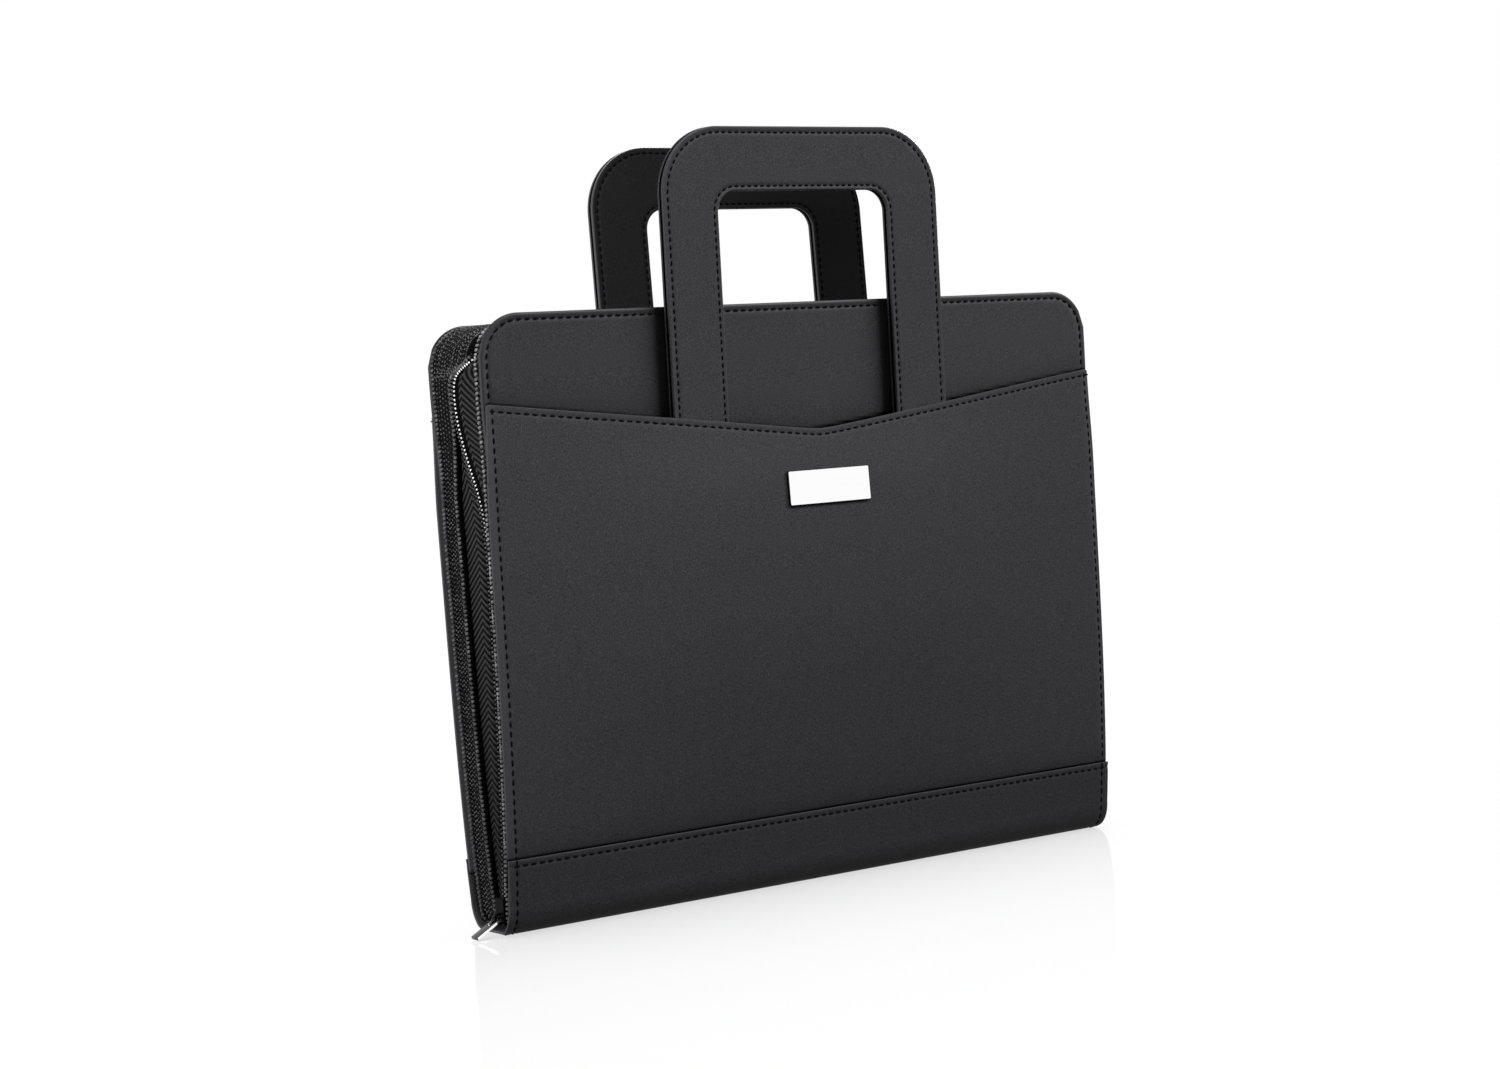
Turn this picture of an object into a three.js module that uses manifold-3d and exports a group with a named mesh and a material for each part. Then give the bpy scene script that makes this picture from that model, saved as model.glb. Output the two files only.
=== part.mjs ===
// A zip-round document portfolio, standing on its spine, with both carrying handles pulled up.
// Millimetres. X runs along the width, the front cover faces -Y, Z is up and the floor is Z = 0.
// The origin is the middle of the spine's flat base.
import * as THREE from 'three';
import { mergeVertices } from 'three/addons/utils/BufferGeometryUtils.js';
import Module from 'manifold-3d';

const wasm = await Module();
wasm.setup();

// Driving dimensions
const WIDTH = 345;
const COVER_HEIGHT = 271;
const GAP = 0.3;
const LEATHER = 1.1;
// The case leans back on its soft spine, so its back hangs a little lower than its front
const BACK_DROP = 2.4;

// Covers: stiff boards, set in a little from the pockets' side edges
const COVER_WALL = 2.6;
const COVER_INSET = 2;
const COVER_CORNER = 20;
const COVER_FOOT = 8;
const COVER_BEND = 95;
const COVER_MIDDLE = 183;
const COVER_REACH = WIDTH / 2 - COVER_INSET;
const CORNER_LEVEL = COVER_HEIGHT - COVER_CORNER;
// Distance from the middle plane to a cover's outer face
const COVER_PROFILE = [
  { height: 5, half: 13.4 },
  { height: 20, half: 15.6 },
  { height: 45, half: 18.2 },
  { height: COVER_BEND, half: 20.9 },
  { height: COVER_MIDDLE, half: 23 },
  { height: COVER_HEIGHT, half: 25.3 },
];

// Spine band: wraps the base and laps over the foot of both pockets
const BAND_TOP = 34;
const BAND_OVERHANG = 0.2;
const BAND_STAND_OFF = 2 * (LEATHER + GAP);
const BAND_CORNER = 2.5;
const BASE_HALF = 6.5;
const BASE_ROUND = 14;

// Pockets: a V-shaped mouth, sewn down at the sides and under the band
const POCKET_SIDE_TOP = 232;
const POCKET_MIDDLE_TOP = 211.7;
const POCKET_TUCK = 6;
const POCKET_FLAT = 48;
const POCKET_SEWN = 166;
const POCKET_TAPER = { from: 185, by: 1.5 };
// How far the middle of a pocket stands off its cover
const POCKET_BULGE = [
  { height: BAND_TOP, depth: 0 },
  { height: 70, depth: 4.7 },
  { height: 115, depth: 9.5 },
  { height: 150, depth: 10.7 },
  { height: 185, depth: 10.4 },
  { height: POCKET_MIDDLE_TOP, depth: 7.8 },
  { height: POCKET_SIDE_TOP, depth: 6.6 },
];

// Handles: heights are measured along the cover from its top edge.
// The back one has slid a little sideways in its loose pocket.
const HANDLE = {
  width: 155, leg: 29.5, thick: 4.7, top: 80.5, grip: 29.3, foot: -81,
  outerCorner: 31, innerCorner: 10, edge: 1.2, clear: 0.6,
};
const HANDLE_SHIFT = { front: 0, back: 1.4 };

// Name plate on the front pocket
const PLATE = { width: 46, height: 16, thick: 1.5, level: 185, corner: 0.8, edge: 0.3 };

// Zip: tapes and webbing make the wall round the three open sides
const TAPE_WALL = 1.2;
const TAPE_INSET = 1.2;
const TAPE_FOOT = 3;
const FOOT_CORNER = 8;
const WEBBING_WIDTH = 10.6;
const CHAIN = { width: 4.4, thick: 2.4, proud: 0.6 };
// How far the chain's middle runs behind the front cover, by the way along the rim
// from the start of the top corner: below it the chain swings out to the middle
const CHAIN_DRIFT = [
  { fromCorner: -85, out: 4.4 },
  { fromCorner: -67, out: 7.4 },
  { fromCorner: -57, out: 10.8 },
  { fromCorner: -46, out: 16.4 },
  { fromCorner: -37, out: 20.6 },
  { fromCorner: -27, out: 24.4 },
  { fromCorner: -17, out: 26.6 },
  { fromCorner: -9, out: 26.6 },
  { fromCorner: -5, out: 25 },
  { fromCorner: -2, out: 21.8 },
  { fromCorner: 1, out: 15 },
  { fromCorner: 4, out: 9 },
  { fromCorner: 9, out: 5.2 },
  { fromCorner: 20, out: 4.4 },
];
const CHAIN_TURN = -20;

// Slider near the lower left corner, with a bridge over the pull's end bar
const SLIDER = { level: 10.8, length: 12, width: 7.2, thick: 1.8, round: 0.8 };
const BRIDGE = { offset: -3.1, half: 2.5, tunnelHalf: 1.5, tunnelHigh: 2, top: 1, width: 1.6 };
const PULL = { reach: 14, width: 5.6, thick: 1.2, bar: 1.2, eye: 4.8, eyeWidth: 3, round: 0.6 };
const PULL_DROOP = THREE.MathUtils.degToRad(28.4);

// Value of one column of a table, smooth between its rows and level past its ends
function readTable(rows, key, column, at) {
  const last = rows.length - 1;
  const clamped = THREE.MathUtils.clamp(at, rows[0][key], rows[last][key]);
  const found = rows.findIndex((row) => row[key] >= clamped);
  const next = Math.max(found, 1);
  const slopeAt = (n) => {
    const before = rows[Math.max(n - 1, 0)];
    const after = rows[Math.min(n + 1, last)];
    return (after[column] - before[column]) / (after[key] - before[key]);
  };
  const [a, b] = [rows[next - 1], rows[next]];
  const span = b[key] - a[key];
  const t = (clamped - a[key]) / span;
  const ease = t * t * (3 - 2 * t);
  const startPull = t * (1 - t) * (1 - t) * span * slopeAt(next - 1);
  const endPull = t * t * (t - 1) * span * slopeAt(next);
  return a[column] + (b[column] - a[column]) * ease + startPull + endPull;
}

// Evenly spaced values, both ends included
function spread(from, to, steps) {
  return Array.from({ length: steps + 1 }, (_, i) => from + ((to - from) * i) / steps);
}

// How far a rounded corner cuts in, at a distance from the straight edge beyond it
function cornerCut(radius, fromEdge) {
  const inside = Math.max(radius - fromEdge, 0);
  return radius - Math.sqrt(radius * radius - inside * inside);
}

const coverFace = (height) => readTable(COVER_PROFILE, 'height', 'half', height);
const coverInside = (height) => coverFace(height) - COVER_WALL;
const coverReach = (height) => COVER_REACH - cornerCut(COVER_CORNER, COVER_HEIGHT - height);
const coverRise = COVER_HEIGHT - COVER_MIDDLE;
const coverLean = Math.atan2(coverFace(COVER_HEIGHT) - coverFace(COVER_MIDDLE), coverRise);

// A closed wall on a grid of stations: place() gives each corner from one station of each list
function moulded(along, across, thick, place) {
  const counts = [along.length - 1, across.length - 1, thick.length - 1];
  const box = new THREE.BoxGeometry(1, 1, 1, ...counts);
  const position = box.attributes.position;
  const corner = new THREE.Vector3();
  for (let i = 0; i < position.count; i += 1) {
    corner.fromBufferAttribute(position, i).addScalar(0.5);
    const [a, b, c] = corner.toArray().map((share, n) => Math.round(share * counts[n]));
    position.setXYZ(i, ...place(along[a], across[b], thick[c]));
  }
  return welded(box);
}

// Only positions are kept, and corners that meet are one
function welded(geometry) {
  geometry.deleteAttribute('normal');
  geometry.deleteAttribute('uv');
  const merged = mergeVertices(geometry, 1e-4);
  merged.computeVertexNormals();
  return merged;
}

// An extruded outline with softened edges, its back at z = 0
function slab(shape, thick, edge, curveSegments) {
  const geometry = new THREE.ExtrudeGeometry(shape, {
    depth: thick - 2 * edge,
    bevelEnabled: edge > 0,
    bevelThickness: edge,
    bevelSize: edge,
    bevelOffset: -edge,
    bevelSegments: 2,
    curveSegments,
  });
  geometry.translate(0, 0, edge);
  return welded(geometry);
}

function roundedRectangle(left, bottom, right, top, radius) {
  const shape = new THREE.Shape();
  shape.moveTo(left + radius, bottom);
  shape.absarc(right - radius, bottom + radius, radius, -Math.PI / 2, 0, false);
  shape.absarc(right - radius, top - radius, radius, 0, Math.PI / 2, false);
  shape.absarc(left + radius, top - radius, radius, Math.PI / 2, Math.PI, false);
  shape.absarc(left + radius, bottom + radius, radius, Math.PI, Math.PI * 1.5, false);
  return shape;
}

function asSolid(geometry) {
  const mesh = new wasm.Mesh({
    numProp: 3,
    vertProperties: new Float32Array(geometry.attributes.position.array),
    triVerts: new Uint32Array(geometry.index.array),
  });
  return new wasm.Manifold(mesh);
}

function joined(first, second) {
  const mesh = asSolid(first).add(asSolid(second)).getMesh();
  const geometry = new THREE.BufferGeometry();
  geometry.setAttribute('position', new THREE.BufferAttribute(mesh.vertProperties, 3));
  geometry.setIndex(new THREE.BufferAttribute(mesh.triVerts, 1));
  geometry.computeVertexNormals();
  return geometry;
}

// Materials
const leatherette = { color: 0x2c2c2e, roughness: 0.55, metalness: 0 };
const handleLeather = { color: 0x303032, roughness: 0.55, metalness: 0 };
const wovenBand = { color: 0x121213, roughness: 0.85, metalness: 0 };
const zipTape = { color: 0x1c1c1d, roughness: 0.8, metalness: 0 };
const zipCoil = { color: 0x242426, roughness: 0.4, metalness: 0 };
const polishedMetal = { color: 0xd8d8da, roughness: 0.12, metalness: 1 };
const darkMetal = { color: 0x3a3a3c, roughness: 0.35, metalness: 1 };

function piece(name, geometry, finish) {
  const mesh = new THREE.Mesh(geometry, new THREE.MeshStandardMaterial(finish));
  mesh.name = name;
  return mesh;
}

function coverGeometry() {
  const bend = spread(COVER_FOOT, COVER_BEND, 6);
  const straight = spread(COVER_BEND, CORNER_LEVEL, 2).slice(1);
  const corner = spread(0, Math.PI / 2, 6).slice(1).map((turn) => CORNER_LEVEL + COVER_CORNER * Math.sin(turn));
  const heights = [...bend, ...straight, ...corner];
  return moulded(spread(-1, 1, 2), heights, [0, 1], (side, height, out) => [
    side * coverReach(height),
    -(coverInside(height) + COVER_WALL * out),
    height,
  ]);
}

const pocketEdge = (x) =>
  THREE.MathUtils.lerp(POCKET_MIDDLE_TOP, POCKET_SIDE_TOP, Math.abs(x) / (WIDTH / 2));

function pocketBack(x, height) {
  const share = 1 - THREE.MathUtils.smoothstep(Math.abs(x), POCKET_FLAT, POCKET_SEWN);
  return coverFace(height) + GAP + share * readTable(POCKET_BULGE, 'height', 'depth', height);
}

function pocketGeometry() {
  const rises = [-POCKET_TUCK, ...spread(0, 1, 10)];
  return moulded(spread(-WIDTH / 2, WIDTH / 2, 20), rises, [0, 1], (x, rise, out) => {
    const lapped = BAND_TOP + rise;
    const open = THREE.MathUtils.lerp(BAND_TOP, pocketEdge(x), rise);
    const height = rise < 0 ? lapped : open;
    const taper = POCKET_TAPER.by * THREE.MathUtils.smoothstep(height, POCKET_TAPER.from, POCKET_SIDE_TOP);
    const reach = x * (1 - taper / (WIDTH / 2));
    return [reach, -(pocketBack(x, height) + LEATHER * out), height];
  });
}

// One half of the band's section, from its turned edge down to the flat base
function bandSection(side, drop) {
  const bandFace = (height) => coverFace(height + drop) + BAND_STAND_OFF;
  const wall = spread(BAND_TOP - drop, BASE_ROUND, 4).map((height) => ({
    side,
    half: bandFace(height),
    height,
    innerHalf: bandFace(height) - LEATHER,
    innerHeight: height,
  }));
  const swell = bandFace(BASE_ROUND) - BASE_HALF;
  const turn = spread(0, Math.PI / 2, 8).slice(1).map((angle) => ({
    side,
    half: BASE_HALF + swell * Math.cos(angle),
    height: BASE_ROUND * (1 - Math.sin(angle)),
    innerHalf: BASE_HALF + (swell - LEATHER) * Math.cos(angle),
    innerHeight: BASE_ROUND - (BASE_ROUND - LEATHER) * Math.sin(angle),
  }));
  return [...wall, ...turn];
}

function bandGeometry() {
  const section = [...bandSection(1, BACK_DROP), ...bandSection(-1, 0).reverse()];
  return moulded([-1, 1], section, [0, 1], (end, row, out) => {
    const reach = WIDTH / 2 + BAND_OVERHANG - cornerCut(BAND_CORNER, row.height);
    const depth = out ? row.half : row.innerHalf;
    const height = out ? row.height : row.innerHeight;
    return [end * reach, row.side * depth, height];
  });
}

// The handle's outline: an arch with a wide hand hole, open between the legs
function handleGeometry() {
  const half = HANDLE.width / 2;
  const hole = half - HANDLE.leg;
  const holeTop = HANDLE.top - HANDLE.grip;
  const { outerCorner, innerCorner } = HANDLE;
  const shape = new THREE.Shape();
  shape.moveTo(-half, HANDLE.foot);
  shape.lineTo(-hole, HANDLE.foot);
  shape.absarc(-hole + innerCorner, holeTop - innerCorner, innerCorner, Math.PI, Math.PI / 2, true);
  shape.absarc(hole - innerCorner, holeTop - innerCorner, innerCorner, Math.PI / 2, 0, true);
  shape.lineTo(hole, HANDLE.foot);
  shape.lineTo(half, HANDLE.foot);
  shape.absarc(half - outerCorner, HANDLE.top - outerCorner, outerCorner, 0, Math.PI / 2, false);
  shape.absarc(-half + outerCorner, HANDLE.top - outerCorner, outerCorner, Math.PI / 2, Math.PI, false);
  return slab(shape, HANDLE.thick, HANDLE.edge, 7);
}

// A handle lies on its cover's face, with its own zero at the cover's top edge
function handleOnCover(side) {
  const seat = new THREE.Group();
  seat.position.set(HANDLE_SHIFT[side], -coverFace(COVER_HEIGHT), COVER_HEIGHT);
  seat.rotation.x = Math.PI / 2 + coverLean;
  const handle = piece(`${side}_handle`, handleGeometry(), handleLeather);
  handle.position.z = HANDLE.clear;
  seat.add(handle);
  return seat;
}

function namePlate() {
  const halfHeight = PLATE.height / 2;
  const pocketFace = (height) => pocketBack(0, height) + LEATHER;
  const low = pocketFace(PLATE.level - halfHeight);
  const high = pocketFace(PLATE.level + halfHeight);
  const seat = new THREE.Group();
  seat.position.set(0, -Math.max((low + high) / 2, pocketFace(PLATE.level)), PLATE.level);
  seat.rotation.x = Math.PI / 2 + Math.atan2(high - low, PLATE.height);
  const outline = roundedRectangle(-PLATE.width / 2, -halfHeight, PLATE.width / 2, halfHeight, PLATE.corner);
  const plate = piece('name_plate', slab(outline, PLATE.thick, PLATE.edge, 3), polishedMetal);
  plate.position.z = GAP;
  seat.add(plate);
  return seat;
}

// Stations along the covers' rim, from the left foot up, over the top and down to the right foot.
// Each has a point on the rim, the way outwards and its place in the chain's table.
function rimStations() {
  const footLevel = TAPE_FOOT - TAPE_INSET + FOOT_CORNER;
  const footMiddle = COVER_REACH - FOOT_CORNER;
  const topMiddle = COVER_REACH - COVER_CORNER;
  const foot = spread(Math.PI / 2, 0, 4).map((turn) => ({
    x: footMiddle + FOOT_CORNER * Math.cos(turn),
    z: footLevel - FOOT_CORNER * Math.sin(turn),
    outX: Math.cos(turn),
    outZ: -Math.sin(turn),
    fromCorner: footLevel - CORNER_LEVEL,
  }));
  const upright = [
    ...spread(footLevel, CORNER_LEVEL + CHAIN_DRIFT[0].fromCorner, 6).slice(1, -1),
    ...spread(CHAIN_DRIFT[0].fromCorner, CHAIN_TURN, 8).map((way) => CORNER_LEVEL + way),
    ...spread(CHAIN_TURN, 0, 6).slice(1).map((way) => CORNER_LEVEL + way),
  ];
  const side = upright.map((z) => ({ x: COVER_REACH, z, outX: 1, outZ: 0, fromCorner: z - CORNER_LEVEL }));
  const corner = spread(0, Math.PI / 2, 9).slice(1).map((turn) => ({
    x: topMiddle + COVER_CORNER * Math.cos(turn),
    z: CORNER_LEVEL + COVER_CORNER * Math.sin(turn),
    outX: Math.cos(turn),
    outZ: Math.sin(turn),
    fromCorner: COVER_CORNER * turn,
  }));
  const right = [...foot, ...side, ...corner];
  const left = right.map((station) => ({ ...station, x: -station.x, outX: -station.outX }));
  return [...left, ...right.reverse()];
}

const chainMiddle = (rim) =>
  readTable(CHAIN_DRIFT, 'fromCorner', 'out', rim.fromCorner) - coverInside(rim.z);
const webbingEdge = (rim) => coverInside(rim.z) - GAP - WEBBING_WIDTH;

// A strip of the side wall between two edges, its outer face `proud` of the tapes.
// It stretches between the covers, so its rear hangs lower towards the top.
function rimStrip(name, finish, edges, wall, proud) {
  const geometry = moulded(rimStations(), [0, 1], [0, 1], (rim, back, out) => {
    const [front, rear] = edges(rim);
    const depth = back ? rear : front;
    const offset = proud - TAPE_INSET - wall * (1 - out);
    const rearShare = 0.5 + depth / (2 * coverInside(rim.z));
    const sunk = 1 - (rearShare * BACK_DROP) / COVER_HEIGHT;
    return [rim.x + rim.outX * offset, depth, (rim.z + rim.outZ * offset) * sunk];
  });
  return piece(name, geometry, finish);
}

function zipWalls() {
  const halfChain = CHAIN.width / 2;
  const chain = (rim) => [chainMiddle(rim) - halfChain, chainMiddle(rim) + halfChain];
  const frontTape = (rim) => [GAP - coverInside(rim.z), chainMiddle(rim) - halfChain - GAP];
  const backTape = (rim) => [chainMiddle(rim) + halfChain + GAP, webbingEdge(rim) - GAP];
  const webbing = (rim) => [webbingEdge(rim), coverInside(rim.z) - GAP];
  return [
    rimStrip('webbing', wovenBand, webbing, TAPE_WALL, 0),
    rimStrip('zip_tape_back', zipTape, backTape, TAPE_WALL, 0),
    rimStrip('zip_tape_front', zipTape, frontTape, TAPE_WALL, 0),
    rimStrip('zip_chain', zipCoil, chain, CHAIN.thick, CHAIN.proud),
  ];
}

// The slider's body with its bridge: x up the chain, y outwards, z towards the front
function sliderGeometry() {
  const halfLength = SLIDER.length / 2;
  const body = slab(roundedRectangle(-halfLength, 0, halfLength, SLIDER.thick, SLIDER.round), SLIDER.width, 0, 3);
  body.translate(0, 0, -SLIDER.width / 2);
  const arch = new THREE.Shape();
  const sunk = SLIDER.thick / 2;
  const ceiling = SLIDER.thick + BRIDGE.tunnelHigh;
  const roof = ceiling + BRIDGE.top;
  arch.moveTo(-BRIDGE.half, sunk);
  arch.lineTo(-BRIDGE.tunnelHalf, sunk);
  arch.lineTo(-BRIDGE.tunnelHalf, ceiling);
  arch.lineTo(BRIDGE.tunnelHalf, ceiling);
  arch.lineTo(BRIDGE.tunnelHalf, sunk);
  arch.lineTo(BRIDGE.half, sunk);
  arch.lineTo(BRIDGE.half, ceiling);
  arch.lineTo(BRIDGE.tunnelHalf, roof);
  arch.lineTo(-BRIDGE.tunnelHalf, roof);
  arch.lineTo(-BRIDGE.half, ceiling);
  arch.closePath();
  const bridge = slab(arch, BRIDGE.width, 0, 1);
  bridge.translate(BRIDGE.offset, 0, -BRIDGE.width / 2);
  return joined(body, bridge);
}

// The pull: x from its end bar to its tip, y across its width
function pullGeometry() {
  const halfBar = PULL.bar / 2;
  const outline = roundedRectangle(-halfBar, -PULL.width / 2, PULL.reach, PULL.width / 2, PULL.round);
  const eye = roundedRectangle(halfBar, -PULL.eyeWidth / 2, halfBar + PULL.eye, PULL.eyeWidth / 2, PULL.round);
  outline.holes.push(eye);
  const geometry = slab(outline, PULL.thick, 0, 2);
  return geometry.translate(0, 0, -PULL.thick / 2);
}

function sliderAndPull() {
  const rim = { z: SLIDER.level, fromCorner: SLIDER.level - CORNER_LEVEL };
  const seat = new THREE.Group();
  const underside = COVER_REACH - TAPE_INSET + CHAIN.proud + GAP;
  seat.position.set(-underside, chainMiddle(rim), SLIDER.level);
  const up = new THREE.Vector3(0, 0, 1);
  const outwards = new THREE.Vector3(-1, 0, 0);
  const forwards = new THREE.Vector3(0, -1, 0);
  seat.quaternion.setFromRotationMatrix(new THREE.Matrix4().makeBasis(up, outwards, forwards));
  seat.add(piece('zip_slider', sliderGeometry(), darkMetal));
  const pull = piece('zip_pull', pullGeometry(), polishedMetal);
  pull.position.set(BRIDGE.offset, SLIDER.thick + BRIDGE.tunnelHigh / 2, 0);
  const along = new THREE.Vector3(-Math.sin(PULL_DROOP), Math.cos(PULL_DROOP), 0);
  const across = new THREE.Vector3(0, 0, -1);
  const through = new THREE.Vector3().crossVectors(along, across);
  pull.quaternion.setFromRotationMatrix(new THREE.Matrix4().makeBasis(along, across, through));
  seat.add(pull);
  return seat;
}

// The back is the front turned half round the upright axis, a little lower
function bothSides(make) {
  const turned = new THREE.Group();
  turned.rotation.z = Math.PI;
  turned.position.z = -BACK_DROP;
  turned.add(make('back'));
  return [make('front'), turned];
}

const portfolio = new THREE.Group();
portfolio.add(...bothSides((side) => piece(`${side}_cover`, coverGeometry(), leatherette)));
portfolio.add(...bothSides((side) => piece(`${side}_pocket`, pocketGeometry(), leatherette)));
portfolio.add(...bothSides(handleOnCover));
portfolio.add(piece('spine_band', bandGeometry(), leatherette));
portfolio.add(namePlate());
portfolio.add(...zipWalls());
portfolio.add(sliderAndPull());

export default portfolio;
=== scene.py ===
"""A zip-round document portfolio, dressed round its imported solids.

Leatherette panels with turned and sewn edges, layered handles, the zip with its woven walls, and the
metal pieces. The sizes below are millimetres on the frame's axes, and the finished meshes are metres.
"""
import math

import bmesh
import bpy
import numpy as np
from mathutils import Matrix, Vector


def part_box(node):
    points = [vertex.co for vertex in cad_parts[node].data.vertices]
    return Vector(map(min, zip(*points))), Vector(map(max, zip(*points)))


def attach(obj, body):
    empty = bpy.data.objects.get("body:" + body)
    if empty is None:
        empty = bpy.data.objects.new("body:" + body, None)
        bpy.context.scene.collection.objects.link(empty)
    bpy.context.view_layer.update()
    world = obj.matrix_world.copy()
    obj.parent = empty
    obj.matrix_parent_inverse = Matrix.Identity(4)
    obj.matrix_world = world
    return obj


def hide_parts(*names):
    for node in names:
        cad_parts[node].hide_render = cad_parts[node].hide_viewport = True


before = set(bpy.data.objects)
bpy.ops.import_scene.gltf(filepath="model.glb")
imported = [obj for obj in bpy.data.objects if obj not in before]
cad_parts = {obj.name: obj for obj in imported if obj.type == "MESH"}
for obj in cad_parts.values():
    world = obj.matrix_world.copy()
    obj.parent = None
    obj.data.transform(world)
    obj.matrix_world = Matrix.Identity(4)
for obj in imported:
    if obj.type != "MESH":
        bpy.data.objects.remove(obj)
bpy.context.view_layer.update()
MM = 0.001


def span(node):
    """A solid's lowest and highest corners, in millimetres."""
    return [np.array(corner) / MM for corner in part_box(node)]


# Sizes read from the solids
COVER_LOW, COVER_HIGH = span("front_cover")
COVER_REACH, COVER_TOP, COVER_FOOT = COVER_HIGH[0], COVER_HIGH[2], COVER_LOW[2]
BACK_DROP = COVER_TOP - span("back_cover")[1][2]
POCKET_LOW, POCKET_HIGH = span("front_pocket")
POCKET_REACH, POCKET_FOOT, POCKET_SIDE_TOP = POCKET_HIGH[0], POCKET_LOW[2], POCKET_HIGH[2]
BAND_HIGH = span("spine_band")[1]
BAND_REACH, BAND_TOP = BAND_HIGH[0], BAND_HIGH[2]
HANDLE_HALF = span("front_handle")[1][0]
BACK_SHIFT = HANDLE_HALF - span("back_handle")[1][0]
PULL_FRONT, PULL_REAR = (corner[1] for corner in span("zip_pull"))

# Walls and covers
GAP = 0.3
LEATHER = 1.1
LEATHER_ROLL = 0.5
COVER_WALL = 2.6
COVER_ROLL = 1.2
COVER_CORNER = 20
COVER_MIDDLE = 183
# A cover's half grows wider between these heights
COVER_SPREAD = 1.3
COVER_SPREAD_AT = (195, 238)
# Height and distance from the middle plane to a cover's outer face
COVER_PROFILE = [(5, 13.4), (20, 15.6), (45, 18.2), (95, 20.9), (COVER_MIDDLE, 23), (COVER_TOP, 25.3)]

# Pockets: the V-shaped mouth, and how far the middle stands off its cover at each height
POCKET_MIDDLE_TOP = 211.7
POCKET_FLAT = 48
POCKET_SEWN = 166
POCKET_TAPER_FROM = 185
POCKET_TAPER = 1.5
VEE_ROUND = 5
POCKET_CORNER = 2
POCKET_BULGE = [(34, 0), (70, 4.7), (115, 9.5), (150, 10.7), (185, 10.4), (211.7, 7.8), (232, 6.6)]

# Spine band
BASE_HALF = 6.5
BASE_ROUND = 14
BAND_CORNER = 2.5
BAND_STAND_OFF = 2 * (LEATHER + GAP)

# Handles: heights are measured along the cover from its top edge
HANDLE_LEG = 29.5
HANDLE_THICK = 4.7
HANDLE_TOP = 80.5
HANDLE_GRIP = 29.3
HANDLE_FOOT = -81
HANDLE_OUTER_CORNER = 31
HANDLE_INNER_CORNER = 10
HANDLE_CLEAR = 0.6
HANDLE_ROLL = 0.6
ARCH_POINTS = 28
# The flank down to the groove between the two plies: depth in from the edge and height
PLY_FLANK = [(0, 1.6), (0, 0.95), (0.12, 0.75), (0.6, 0.5), (1.6, 0.3)]
PLY_GROOVE = 0.8

# Sewing
SEAM_DEPTH = 0.3
SEAM_WIDTH = 0.95
STITCH_PITCH = 4.2
STITCH_SIZE = (1.5, 0.54, 0.45)
STITCH_RISE = 0.12
COVER_SEAM_SIDE = 3.3
COVER_SEAM_TOP = 3.0
POCKET_SEAM_TOP = 2.8
POCKET_SEAM_LEFT = 4.4
POCKET_SEAM_RIGHT = 2.4
BAND_SEAM_TOP = 2.7
BAND_SEAM_END = 4.2
BAND_SEAM_SKIP = 7
HANDLE_PITCH = 3.55
HANDLE_STITCH = (1.25, 0.52, 0.4)
HANDLE_SEAM_OUTER = 2.8
HANDLE_SEAM_HOLE = 2.2

# Mesh lines next to a turned edge
EDGE_STEPS = [
    0, 0.05, 0.15, 0.3, 0.5, 0.75, 1.05, 1.4, 1.8, 2.2, 2.6, 3.0, 3.4, 3.8, 4.2, 4.6, 5, 5.4, 5.9, 6.6, 8, 10,
]
# Closer rows: on a cover from below the mouth to above it, and near the foot of a pocket
CLOSE_ROWS = 0.5
CLOSE_BY_MOUTH = (2, 12)
CLOSE_BY_FOOT = (16, 1)

# Shades: paler turned edges (wear and a painted highlight), painted shade in creases and on the whole band
EDGE_FADE = 1.1
HEM_HALF = 3.2
MOUTH_PALE = 0.6
BAND_PALE = 1.5
CREASE_HALF = 0.5
CREASE_FADE = 0.6
CREASE_REACH = 5.0
CREASE_SOFT = 0.36
CREASE_FROM_EDGE = (0.6, 2.4)
BAND_SHADE = 0.16

# Zip: way along the rim from the start of the top corner, and how far the chain runs behind the front cover
CHAIN_DRIFT = [
    (-85, 4.4), (-67, 7.4), (-57, 10.8), (-46, 16.4), (-37, 20.6), (-27, 24.4), (-17, 26.6),
    (-8, 26.4), (-5, 24.6), (-3, 21.4), (-1.4, 17), (-0.2, 12.6), (1, 8.6), (3, 5.6), (9, 4.4),
]
CHAIN_HALF = 2.2
SPREAD_DRIFT = 1.45
CORE_WALL = 1.6
CORE_FRONT = -4.0
CORE_BOW = 0.1
LEAST_TAPE = 1
COIL_PITCH = 1.9
COIL_SIZE = (0.55, 0.7, 0.55)
# Depth from the chain's line and height over the tapes
COIL_FRONT = (-0.9, 0.4)
COIL_REAR = (1.1, 0.35)
# Where the chain runs close to the front cover it lies in a fold behind the piping
FOLD_DEPTH = 1.6
FOLD_HALF = 2.6
FOLD_SHIFT = 2.4
FOLD_BEHIND = (5, 10)
FOLD_ABOVE = (20, 45)

# Tapes and webbing; pairs that end in AT are where a change starts and ends, along the rim or in height
TAPE_WALL = 1.2
TAPE_INSET = 1.2
TAPE_FOOT = 3
FOOT_CORNER = 8
TAPE_BOW = 0.2
TAPE_SINK = 2.4
TOP_SINK = 2.6
TOP_SINK_AT = (1, 6)
TOP_DIP = 2.2
TOP_DIP_AT = (6, 22)
WEBBING_WIDTH = 10.6
WEBBING_WALL = 3.4
WEBBING_PROUD = 0.1
WEBBING_BOW = 0.25
WEBBING_SPREAD = 5.0
WEBBING_SPREAD_AT = (190, 225)
WEBBING_FROM_CHAIN = 1.2
WEBBING_TURN_AT = (-14, -6)
# Painted shade of the sunken strips over the top corner starts and ends here along the rim
HOLLOW_SHADE_AT = (-9, 2)
KNOT_PITCH = 2.0
KNOT_SIZE = (0.5, 0.52, 0.4)
KNOT_PROUD = 0.25
KNOT_MARGIN = 1.9
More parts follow.
